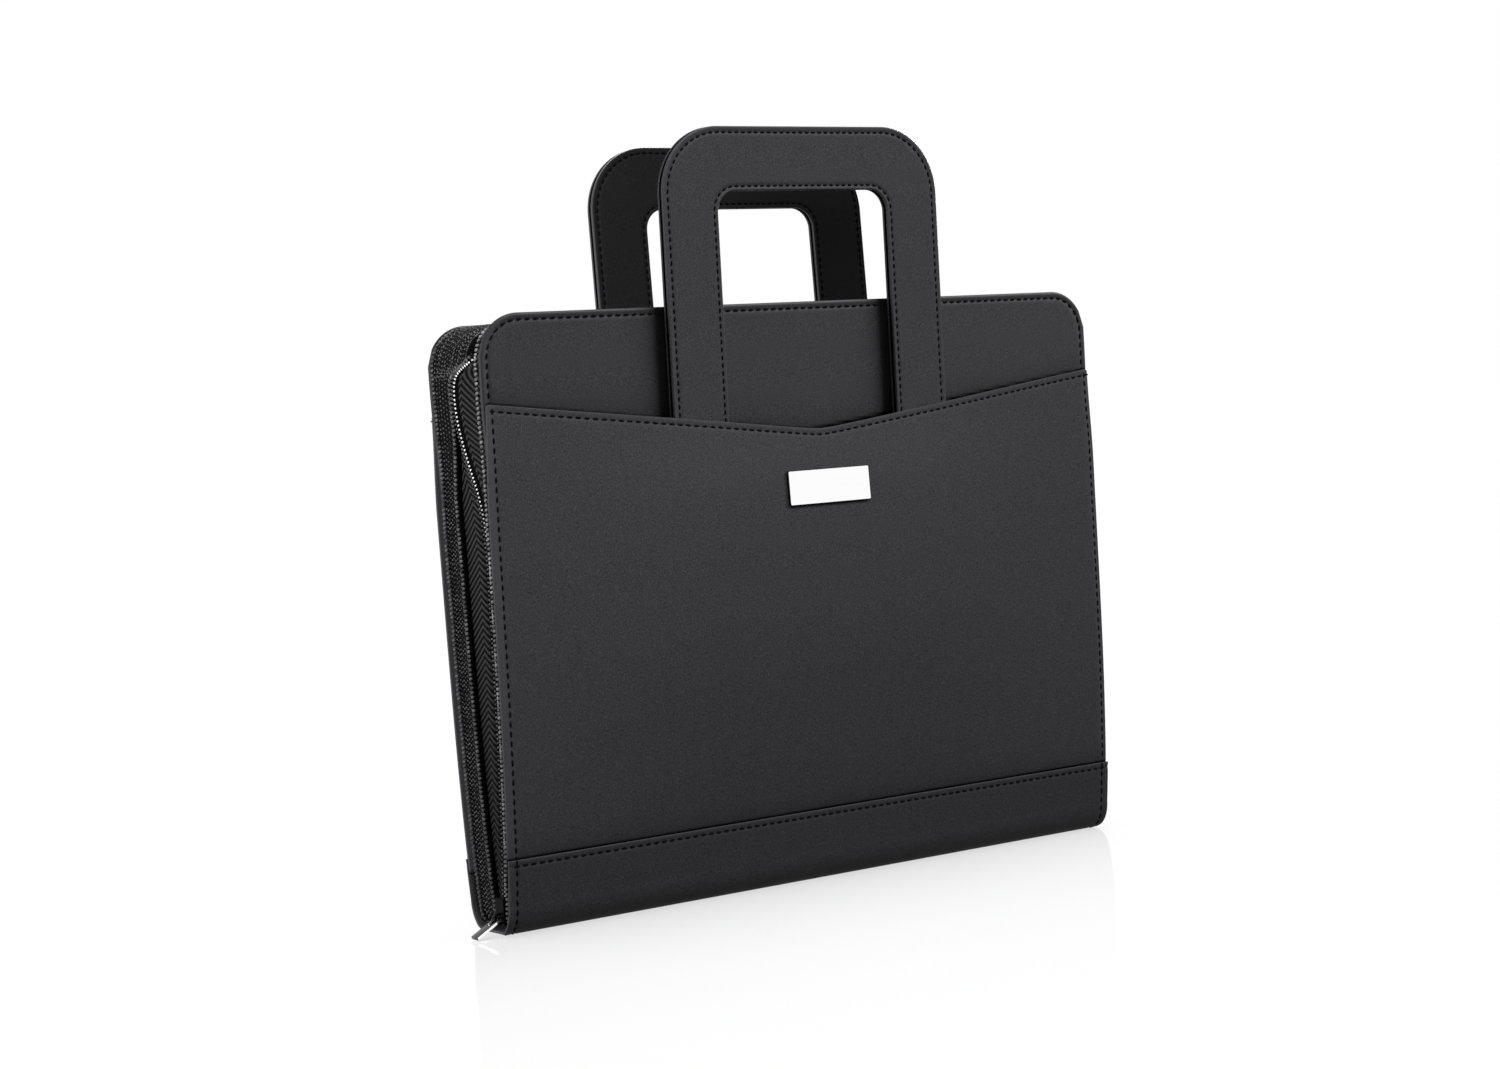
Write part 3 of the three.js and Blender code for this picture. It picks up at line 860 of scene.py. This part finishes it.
def band_panel():
    y, z, out_y, out_z, down = band_section().T[:, :, None]
    inwards = steps_from_edge(BAND_REACH, spacing=11)[None, :]
    cut = corner_cut(BAND_CORNER, z)
    x = mirrored_columns(inwards - BAND_REACH + cut * (1 - inwards / BAND_REACH))
    from_end = BAND_REACH - cut - np.abs(x)
    from_edge = np.maximum(np.minimum(from_end, down), 0)
    fall = corner_cut(LEATHER_ROLL, from_edge)
    sewn = groove(np.minimum(np.abs(from_end - BAND_SEAM_END), np.abs(down - BAND_SEAM_TOP)))

    def sunk(depth):
        return together(x, y - out_y * depth, z - out_z * depth)

    # Paler edges from wear and a painted highlight, and an even painted shade over the band
    band = make_wall(
        "spine_band_panel", sunk(fall + sewn), sunk(LEATHER - fall), LEATHERETTE,
        shades={"edge": fading(from_edge, EDGE_FADE) * BAND_PALE, "painted_shade": np.full(x.shape, BAND_SHADE)},
    )
    add(band, "case", "leatherette", "spine_band")


# Handles
def arch(half, top, corner):
    """An arch line from the left foot over the top to the right foot."""
    legs = np.linspace(HANDLE_FOOT, top - corner, ARCH_POINTS)
    turn = np.linspace(math.pi, math.pi / 2, ARCH_POINTS)[1:]
    bend = together(corner - half + corner * np.cos(turn), top - corner + corner * np.sin(turn))
    left = np.concatenate([together(-half, legs), bend])
    across = np.linspace(corner - half, half - corner, ARCH_POINTS)[1:-1]
    return np.concatenate([left, together(across, top), left[::-1] * [-1, 1]])


def handle_edges():
    """The handle's hole line and outer line, station by station."""
    inner = arch(HANDLE_HALF - HANDLE_LEG, HANDLE_TOP - HANDLE_GRIP, HANDLE_INNER_CORNER)
    outer = arch(HANDLE_HALF, HANDLE_TOP, HANDLE_OUTER_CORNER)
    return inner, outer


def handle_flank(seam):
    """A quarter of a handle's section, from its face round the edge: depth in from the edge and height."""
    near = np.array(EDGE_STEPS)
    face = HANDLE_THICK / 2 - corner_cut(HANDLE_ROLL, near) - groove(near - seam)
    return np.array([*zip(near[::-1], face[::-1]), *PLY_FLANK])


def handle_loop(width):
    """The whole section as (from the hole edge, height) points."""
    flip = [1, -1]
    rim = handle_flank(HANDLE_SEAM_OUTER)
    hole = handle_flank(HANDLE_SEAM_HOLE)
    rim_side = np.concatenate([rim, (rim * flip)[::-1]]) * [-1, 1] + [width, 0]
    hole_side = np.concatenate([hole * flip, hole[::-1]])
    return np.concatenate([rim_side, hole_side])


def handle_place(side, points):
    """From a handle's own axes (across, along the cover, off its face) to the frame."""
    lean = math.atan2(cover_face(COVER_TOP) - cover_face(COVER_MIDDLE), COVER_TOP - COVER_MIDDLE)
    across, along, off = np.moveaxis(points, -1, 0)
    shift = 0 if side == "front" else BACK_SHIFT
    y = -cover_face(COVER_TOP) - along * math.sin(lean) - off * math.cos(lean)
    z = COVER_TOP + along * math.cos(lean) - off * math.sin(lean)
    return on_side(side, together(across + shift, y, z))


def handle_piece(side):
    rings = []
    shades = {"edge": [], "inner_face_shade": [], "painted_shade": []}
    for hole, rim in zip(*handle_edges()):
        width = np.hypot(*(rim - hole))
        loop = handle_loop(width)
        flat = hole + (rim - hole) * (loop[:, :1] / width)
        rings.append(np.column_stack([flat, loop[:, 1] + HANDLE_CLEAR + HANDLE_THICK / 2]))
        # Paler edges from wear and a painted highlight; painted shade on the inner face and in the groove
        # between the plies
        shades["edge"].append(fading(np.minimum(loop[:, 0], width - loop[:, 0]), EDGE_FADE))
        shades["inner_face_shade"].append(loop[:, 1] < HANDLE_ROLL - HANDLE_THICK / 2)
        shades["painted_shade"].append(np.abs(loop[:, 1]) < PLY_GROOVE)
    rings = np.array(rings)
    stations, around = rings.shape[:2]
    number = np.arange(stations * around).reshape(stations, around)
    closed = np.concatenate([number, number[:, :1]], axis=1)
    faces = [*squares(closed).tolist(), number[0].tolist(), number[-1, ::-1].tolist()]
    points = handle_place(side, rings).reshape(-1, 3)
    flat_shades = {key: np.concatenate(rows) for key, rows in shades.items()}
    handle = make_piece(f"{side}_handle_strap", points, faces, LEATHERETTE, shades=flat_shades)
    add(handle, f"{side}_grip", "leatherette", f"{side}_handle")


def handle_seams(side):
    """Sewn rows along both edges of both faces."""
    inner, outer = handle_edges()
    across = outer - inner
    width = np.hypot(*across.T)[:, None]
    lines = []
    for face in (1, -1):
        off = HANDLE_CLEAR + HANDLE_THICK / 2 + face * (HANDLE_THICK / 2 - SEAM_DEPTH + STITCH_RISE)
        for share in (HANDLE_SEAM_HOLE / width, 1 - HANDLE_SEAM_OUTER / width):
            flat = inner + across * share
            line = handle_place(side, together(*flat.T, off))
            front = np.array([0, -face, 0])
            lines.append((line, front if side == "front" else -front))
    sew(f"{side}_handle_stitches", lines, f"{side}_grip", HANDLE_PITCH, HANDLE_STITCH)


# Stitches of the case
def lifted(face, seam):
    """A seam's (x, z) points on a panel's face, in its channel."""
    x, z = seam.T
    return together(x, SEAM_DEPTH - STITCH_RISE - face, z)


def case_stitches():
    for side, way in [("front", -1), ("back", 1)]:
        out = np.array([0.0, way, 0])
        cover = cover_seam()
        lines = [(on_side(side, lifted(cover_face(cover[:, 1]), cover)), out)]
        for seam in pocket_seams():
            lines.append((on_side(side, lifted(pocket_face(*seam.T), seam)), out))
        sew(f"{side}_panel_stitches", lines, "case")
    band = band_section()
    sunk = band[:, :2] - band[:, 2:4] * (SEAM_DEPTH - STITCH_RISE)
    sunk[:, 1] = np.maximum(sunk[:, 1], STITCH_SIZE[2] + STITCH_RISE)
    out = together(0, *band[:, 2:4].T)
    inside = slice(BAND_SEAM_SKIP, -BAND_SEAM_SKIP)
    lines = []
    for end in (-1, 1):
        x = end * (BAND_REACH - corner_cut(BAND_CORNER, band[:, 1]) - BAND_SEAM_END)
        lines.append((together(x, *sunk.T)[inside], out[inside]))
    reach = BAND_REACH - BAND_SEAM_END
    along = np.linspace(-reach, reach, num=200)
    z = BAND_TOP - BAND_SEAM_TOP
    half = cover_face(z) + BAND_STAND_OFF - SEAM_DEPTH + STITCH_RISE
    for way, drop in [(-1, 0), (1, BACK_DROP)]:
        lines.append((together(along, way * half, z - drop), np.array([0.0, way, 0])))
    sew("band_stitches", lines, "case")


# Zip and its woven walls
def rim_line():
    """Stations round the open sides, from the left foot over the top to the right foot.

    Each row is x, z, way out (x, z) and the way from the start of the top corner."""
    level = COVER_TOP - COVER_CORNER
    foot_level = TAPE_FOOT - TAPE_INSET + FOOT_CORNER
    low = np.linspace(math.pi / 2, 0, num=9)
    foot = together(
        COVER_REACH - FOOT_CORNER + FOOT_CORNER * np.cos(low), foot_level - FOOT_CORNER * np.sin(low),
        np.cos(low), -np.sin(low), foot_level - level,
    )
    z = np.linspace(foot_level, level, num=150)[1:]
    side = together(COVER_REACH, z, 1, 0, z - level)
    turn = np.linspace(0, math.pi / 2, num=25)[1:]
    corner = together(
        COVER_REACH - COVER_CORNER * (1 - np.cos(turn)), level + COVER_CORNER * np.sin(turn),
        np.cos(turn), np.sin(turn), COVER_CORNER * turn,
    )
    right = np.concatenate([foot, side, corner])
    x = np.linspace(COVER_CORNER - COVER_REACH, COVER_REACH - COVER_CORNER, num=60)[1:-1]
    top = together(x, COVER_TOP, 0, 1, COVER_CORNER * math.pi / 2)
    return np.concatenate([right * [-1, 1, -1, 1, 1], top, right[::-1]])


RIM = rim_line()
RIM[:, 0] *= 1 + cover_spread(RIM[:, 1]) / COVER_REACH
RIM_HEIGHT, RIM_WAY = RIM[:, 1], RIM[:, 4]
RIM_INSIDE = cover_face(RIM_HEIGHT) - COVER_WALL
RIM_ALONG = np.concatenate([[0], np.cumsum(np.hypot(*np.diff(RIM[:, :2], axis=0).T))])
CHAIN_OUT = smooth(CHAIN_DRIFT, RIM_WAY) - SPREAD_DRIFT * cover_spread(RIM_HEIGHT)
CHAIN_OUT = np.maximum(CHAIN_OUT, CHAIN_DRIFT[0][1])
FOLDED = (1 - smoothstep(CHAIN_OUT, *FOLD_BEHIND)) * smoothstep(RIM_HEIGHT, *FOLD_ABOVE)
CHAIN_LINE = CHAIN_OUT + FOLD_SHIFT * FOLDED - RIM_INSIDE
# The webbing widens towards the top corner and follows the chain over the top
WEBBING_BY_CHAIN = CHAIN_LINE + CHAIN_HALF + WEBBING_FROM_CHAIN
WEBBING_PLAIN = (
    RIM_INSIDE - GAP - WEBBING_WIDTH - WEBBING_SPREAD * smoothstep(RIM_HEIGHT, *WEBBING_SPREAD_AT)
)
WEBBING_LINE = WEBBING_PLAIN + (WEBBING_BY_CHAIN - WEBBING_PLAIN) * smoothstep(RIM_WAY, *WEBBING_TURN_AT)


def on_rim(y, proud):
    """Points on the side wall at depths y, `proud` of the tapes; the wall hangs lower to the back."""
    x, z, out_x, out_z, _ = RIM.T
    offset = proud - TAPE_INSET - FOLD_DEPTH * FOLDED * np.exp(-(((y - CHAIN_LINE) / FOLD_HALF) ** 2))
    rear_share = 0.5 + y / (2 * RIM_INSIDE)
    sunk = 1 - rear_share * BACK_DROP / COVER_TOP
    return together(x + out_x * offset, y, (z + out_z * offset) * sunk)


def rim_strip(name, front, rear, wall, proud, bow, sink, apex_at_front, finish):
    """A strip of the side wall between two depths, bowed outwards.

    `proud` is its height at the front edge and may vary along it, and `sink` lowers the rear edge."""
    share = np.linspace(0, 1, num=9)[:, None]
    y = front + (rear - front) * share
    height = proud + (bow * (1 - (2 * share - 1) ** 2) - sink * share)
    across = y - front if apex_at_front else rear - y + FRONT_TAPE_SHIFT
    grids = [on_rim(y, height), on_rim(y, height - wall), together(RIM_ALONG, across)]
    outer, inner, uv = (grid.swapaxes(0, 1) for grid in grids)
    # Painted shade over the top corner, darkest at the strip's front edge
    hollow_shade = smoothstep(RIM_WAY, *HOLLOW_SHADE_AT)[:, None] * (1 - share.T) ** 0.5
    return make_wall(name, outer, inner, finish, uv=uv, shades={"painted_shade": hollow_shade})


def rim_row(y, proud, staggered=False):
    """A line for beads along the side wall; a staggered one starts half a step later."""
    line = on_rim(y, proud)
    if staggered:
        line[0] = (line[0] + line[1]) / 2
    return line, together(RIM[:, 2], 0, RIM[:, 3])


def zip_walls(dip, top_sink):
    """Tapes, webbing and the chain's core and teeth; their front part dips over the top."""
    front = GAP - RIM_INSIDE
    core_front = np.maximum(CHAIN_LINE + CORE_FRONT, front + LEAST_TAPE)
    chain_rear = CHAIN_LINE + CHAIN_HALF
    tape_rear, rear = WEBBING_LINE - GAP, RIM_INSIDE - GAP
    webbing_proud = WEBBING_PROUD - dip
    for *strip, slot, node in [
        ("zip_tape_front_cloth", front, core_front, TAPE_WALL, -dip, TAPE_BOW, 0, False, HERRINGBONE,
         "zip_tape", "zip_tape_front"),
        ("zip_tape_back_cloth", chain_rear, tape_rear, TAPE_WALL, -dip, 0, TAPE_SINK, True, HERRINGBONE,
         "zip_tape", "zip_tape_back"),
        ("webbing_cloth", WEBBING_LINE, rear, WEBBING_WALL, webbing_proud, WEBBING_BOW, -dip, True, WEBBING,
         "woven_band", "webbing"),
        ("zip_chain_core", core_front, chain_rear, CORE_WALL, -dip, CORE_BOW, 0, True, THREAD,
         "zip_coil", "zip_chain"),
    ]:
        add(rim_strip(*strip), "case", slot, node)
    for name, (behind, proud), staggered, finish in [
        ("zip_teeth_front", COIL_FRONT, False, COIL), ("zip_teeth_back", COIL_REAR, True, PIPING),
    ]:
        teeth = rim_row(CHAIN_LINE + behind, proud - top_sink, staggered)
        add(make_row(name, [teeth], COIL_PITCH, COIL_SIZE, finish), "case", "zip_coil")


def zip_piping(top_sink):
    at_foot = smoothstep(RIM_HEIGHT, *FOOT_FROM) - smoothstep(RIM_HEIGHT, *FOOT_TO)
    front_in = FRONT_PIPING[0] - FOOT_PIPING[0] * at_foot
    front_sink = TOP_SINK * smoothstep(RIM_WAY, *FRONT_SINK_AT)
    front_proud = FRONT_PIPING[1] + FOOT_PIPING[1] * at_foot - front_sink
    high = smoothstep(RIM_HEIGHT, *BACK_PIPING_AT)
    back_in, back_proud = (low + (top - low) * high for low, top in zip(BACK_PIPING_LOW, BACK_PIPING_HIGH))
    for name, y, proud, pitch, finish in [
        ("front_piping", front_in - RIM_INSIDE, front_proud, FRONT_PIPING_PITCH, PALE_PIPING),
        ("webbing_front_piping", WEBBING_LINE, MIDDLE_PIPING_PROUD - top_sink, PIPING_PITCH, PIPING),
        ("webbing_back_piping", RIM_INSIDE - back_in, back_proud, PIPING_PITCH, PIPING),
    ]:
        row = make_row(name, [rim_row(y, proud)], pitch, PIPING_SIZE, finish, slant=0.2, wander=0.12)
        add(row, "case", "woven_band")


def webbing_knots(dip):
    first, last = WEBBING_LINE + KNOT_MARGIN, RIM_INSIDE - KNOT_MARGIN / 2

    def knot_row(share, staggered=False):
        return rim_row(first + (last - first) * share, KNOT_PROUD - dip * (1 - share), staggered)

    knots = [knot_row(share, n % 2 == 1) for n, share in enumerate(np.linspace(0, 1, KNOT_ROWS))]
    over_top = RIM_WAY > TOP_KNOTS_FROM
    for n, share in enumerate(np.linspace(0, 1, TOP_KNOT_ROWS)):
        line, out = knot_row(share)
        knots.append((line[over_top][n % 2:], out[over_top][n % 2:]))
    row = make_row("webbing_knots", knots, KNOT_PITCH, KNOT_SIZE, KNOTS, wander=0.2, facets=(6, 4))
    add(row, "case", "woven_band")


# Metal pieces
def softened(node, name, finishes, front):
    """A copy of a solid with its flat faces made whole and its edges rounded.

    Faces turned to the front by more than `front` take the first finish, the rest the last."""
    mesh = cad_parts[node].data.copy()
    mesh.name = name
    mesh.materials.clear()
    worked = bmesh.new()
    worked.from_mesh(mesh)
    bmesh.ops.remove_doubles(worked, verts=worked.verts, dist=0.01 * MM)
    bmesh.ops.dissolve_limit(worked, angle_limit=math.radians(2), verts=worked.verts, edges=worked.edges)
    sharp = [edge for edge in worked.edges if edge.is_manifold and edge.calc_face_angle() > SHARP_ANGLE]
    bmesh.ops.bevel(
        worked, geom=sharp, offset=METAL_ROUND * MM, segments=3, affect="EDGES", profile=0.6,
        clamp_overlap=True,
    )
    bmesh.ops.recalc_face_normals(worked, faces=worked.faces)
    worked.to_mesh(mesh)
    worked.free()
    for finish in finishes:
        mesh.materials.append(finish)
    turned = np.array([face.normal[1] for face in mesh.polygons]) > -front
    areas = np.array([face.area for face in mesh.polygons])
    picked = np.where(turned, len(finishes) - 1, 0)
    mesh.polygons.foreach_set("material_index", picked.astype(np.int32))
    mesh.polygons.foreach_set("use_smooth", areas < (FLAT_FROM * MM) ** 2)
    return new_object(name, mesh)


def metal_pieces():
    for node, name, body, slot, finishes, front in [
        # The name plate's sides take the dark metal as a painted dark reflection
        ("name_plate", "name_plate_blank", "case", "polished_metal", [POLISHED, DARK_METAL], 0.95),
        ("zip_slider", "zip_slider_body", "case", "dark_metal", [DARK_METAL], 0),
        ("zip_pull", "zip_pull_tab", "pull", "polished_metal", [POLISHED, PULL_FACE], 0.9),
    ]:
        add(softened(node, name, finishes, front), body, slot, node)


# Photograph's view
PHOTO_WIDTH, PHOTO_HEIGHT = 1500, 1069
FOCAL_PIXELS = 2715.25
AXIS_PIXEL = (750.5, 488.4)
CAMERA_PLACE = (-734.1, -1053.9, 213.8)
CAMERA_YAW, CAMERA_PITCH, CAMERA_ROLL = (math.radians(angle) for angle in (34.136, 1.264, -3.969))


def set_camera():
    data = bpy.data.cameras.new("photo_view")
    data.lens = FOCAL_PIXELS * data.sensor_width / PHOTO_WIDTH
    data.shift_x = (PHOTO_WIDTH / 2 - AXIS_PIXEL[0]) / PHOTO_WIDTH
    data.shift_y = (AXIS_PIXEL[1] - PHOTO_HEIGHT / 2) / PHOTO_WIDTH
    camera = new_object("photo_view", data)
    ahead = Matrix.Rotation(-CAMERA_YAW, 4, "Z") @ Matrix.Rotation(math.pi / 2 - CAMERA_PITCH, 4, "X")
    turned = ahead @ Matrix.Rotation(CAMERA_ROLL, 4, "Z")
    camera.matrix_world = Matrix.Translation(Vector(CAMERA_PLACE) * MM) @ turned
    bpy.context.scene.camera = camera


# Studio, in metres; what lights a side of the case is given for the side that faces +Y
AMBIENT = 0.12
FLOOR_HALF = 30.0
# Far lamps: the way to them, their strength and their spread in degrees
KEY = ((0.369, 0.527, 0.766), 11.6, 30)
COVER_KEY = ((0.63, 0.394, 0.669), 16.3, 34)
OVERHEAD = ((0, -0.06, 2), 2.95, 36)
CONTACT = ((0, -0.06, 2), 0.4, 50)
# Soft boxes: place, aim, size and power
POCKET_BOX = ((0.35, 0.6, 0.6), (0, 0, 0.15), (0.35, 0.35), 11)
STRIP = ((0, 0.5, 0.78), (0, 0, 0.2), (1.2, 0.15), 6)
FILL = ((0.46, 0.24, 0.44), (0.08, -0.03, 0.3), (0.2, 0.2), 8.2)
LEFT_CARD = ((-1.2, -0.05, 0.45), (-0.17, 0, 0.15), (0.5, 0.5), 6)
EDGE_CARD = ((-1.2, 0.1, 0.3), (-0.17, 0, 0.15), (0.3, 0.5), 22)
HEM_CARD = ((-0.8, -0.6, 0.45), (-0.17, 0, 0.15), (0.3, 0.3), 20)
RIGHT_CARD = ((1.2, -0.05, 0.45), (0.17, 0, 0.15), (0.5, 0.5), 6)


def listed(name, pieces):
    """A collection that only serves to name pieces."""
    group = bpy.data.collections.new(name)
    for piece in pieces:
        group.objects.link(piece)
    return group


def named(*starts):
    return [piece for piece in PIECES if piece.name.startswith(starts)]


def lamp_towards(name, data, place, aim, pieces, signs):
    """A lamp turned towards a point, which lights these pieces alone; the signs mirror it on X and Y."""
    lamp = new_object(name, data)
    place, aim = (Vector(point) * Vector((*signs, 1)) for point in (place, aim))
    turned = (aim - place).to_track_quat("-Z", "Y").to_matrix().to_4x4()
    lamp.matrix_world = Matrix.Translation(place) @ turned
    lamp.light_linking.receiver_collection = listed(lamp.name + "_lights", pieces)
    return lamp


def soft_box(name, box, pieces, signs=(1, 1)):
    place, aim, size, power = box
    data = bpy.data.lights.new(name, "AREA")
    data.shape = "RECTANGLE"
    data.size, data.size_y = size
    data.energy = power
    lamp_towards(name, data, place, aim, pieces, signs)


def far_light(name, lamp, pieces, signs=(1, 1)):
    place, strength, spread = lamp
    data = bpy.data.lights.new(name, "SUN")
    data.energy = strength
    data.angle = math.radians(spread)
    return lamp_towards(name, data, place, (0, 0, 0), pieces, signs)


def set_world():
    """White all round for the eye and for mirrors, dimmer as a light."""
    world = bpy.data.worlds.new("studio")
    world.use_nodes = True
    world.node_tree.nodes.clear()
    bench = Bench(world.node_tree)
    spread = bench.node("ShaderNodeLightPath", out="Is Diffuse Ray")
    surround = bench.node(
        "ShaderNodeBackground", sockets={"Color": grey(1.0), "Strength": 1.0 - spread * (1.0 - AMBIENT)}
    )
    bench.node("ShaderNodeOutputWorld", sockets={"Surface": surround})
    bpy.context.scene.world = world


def light_side(side, way, other, woven, metal):
    """Lamps on the front or the back of the case: `way` is that side's sign on Y."""
    handle = named(f"{side}_handle")
    panels = named(f"{side}_pocket", f"{side}_panel", "spine_band", "band_stitches")
    far_light(f"{side}_key", KEY, handle + metal, (1, way))
    far_light(f"{side}_cover_key", COVER_KEY, named(f"{side}_cover"), (1, way))
    for end in (-1, 1):
        soft_box(f"{side}_pocket_box", POCKET_BOX, panels, (end, way))
    soft_box(f"{side}_strip", STRIP, handle + woven + metal, (1, way))
    soft_box(f"{side}_fill", FILL, named(f"{other}_handle"), (way, way))


def set_studio():
    mesh = bpy.data.meshes.new("floor")
    corners = [(x * FLOOR_HALF, y * FLOOR_HALF, 0) for x, y in [(-1, -1), (1, -1), (1, 1), (-1, 1)]]
    mesh.from_pydata(corners, [], [(0, 1, 2, 3)])
    mesh.materials.append(floor_finish())
    floor = new_object("floor", mesh)
    set_world()
    overhead = far_light("overhead", OVERHEAD, [floor])
    overhead.light_linking.blocker_collection = listed("overhead_shades", [floor])
    far_light("contact", CONTACT, [floor])
    woven = named("front_piping", "webbing", "zip_t", "zip_chain")
    metal = named("name_plate", "zip_slider", "zip_pull")
    leather = [piece for piece in PIECES if piece not in woven + metal]
    light_side("front", -1, "back", woven, metal)
    light_side("back", 1, "front", [], [])
    soft_box("left_card", LEFT_CARD, PIECES)
    soft_box("edge_card", EDGE_CARD, leather)
    soft_box("hem_card", HEM_CARD, named("back_pocket"))
    soft_box("right_card", RIGHT_CARD, woven)
    bpy.context.scene.view_settings.view_transform = "Standard"


set_camera()
for each in ("front", "back"):
    cover_panel(each)
for each in ("front", "back"):
    pocket_panel(each)
    handle_piece(each)
    handle_seams(each)
band_panel()
case_stitches()
over_top_dip = TOP_DIP * smoothstep(RIM_WAY, *TOP_DIP_AT)
over_top_sink = TOP_SINK * smoothstep(RIM_WAY, *TOP_SINK_AT)
zip_walls(over_top_dip, over_top_sink)
zip_piping(over_top_sink)
webbing_knots(over_top_dip)
metal_pieces()
set_studio()
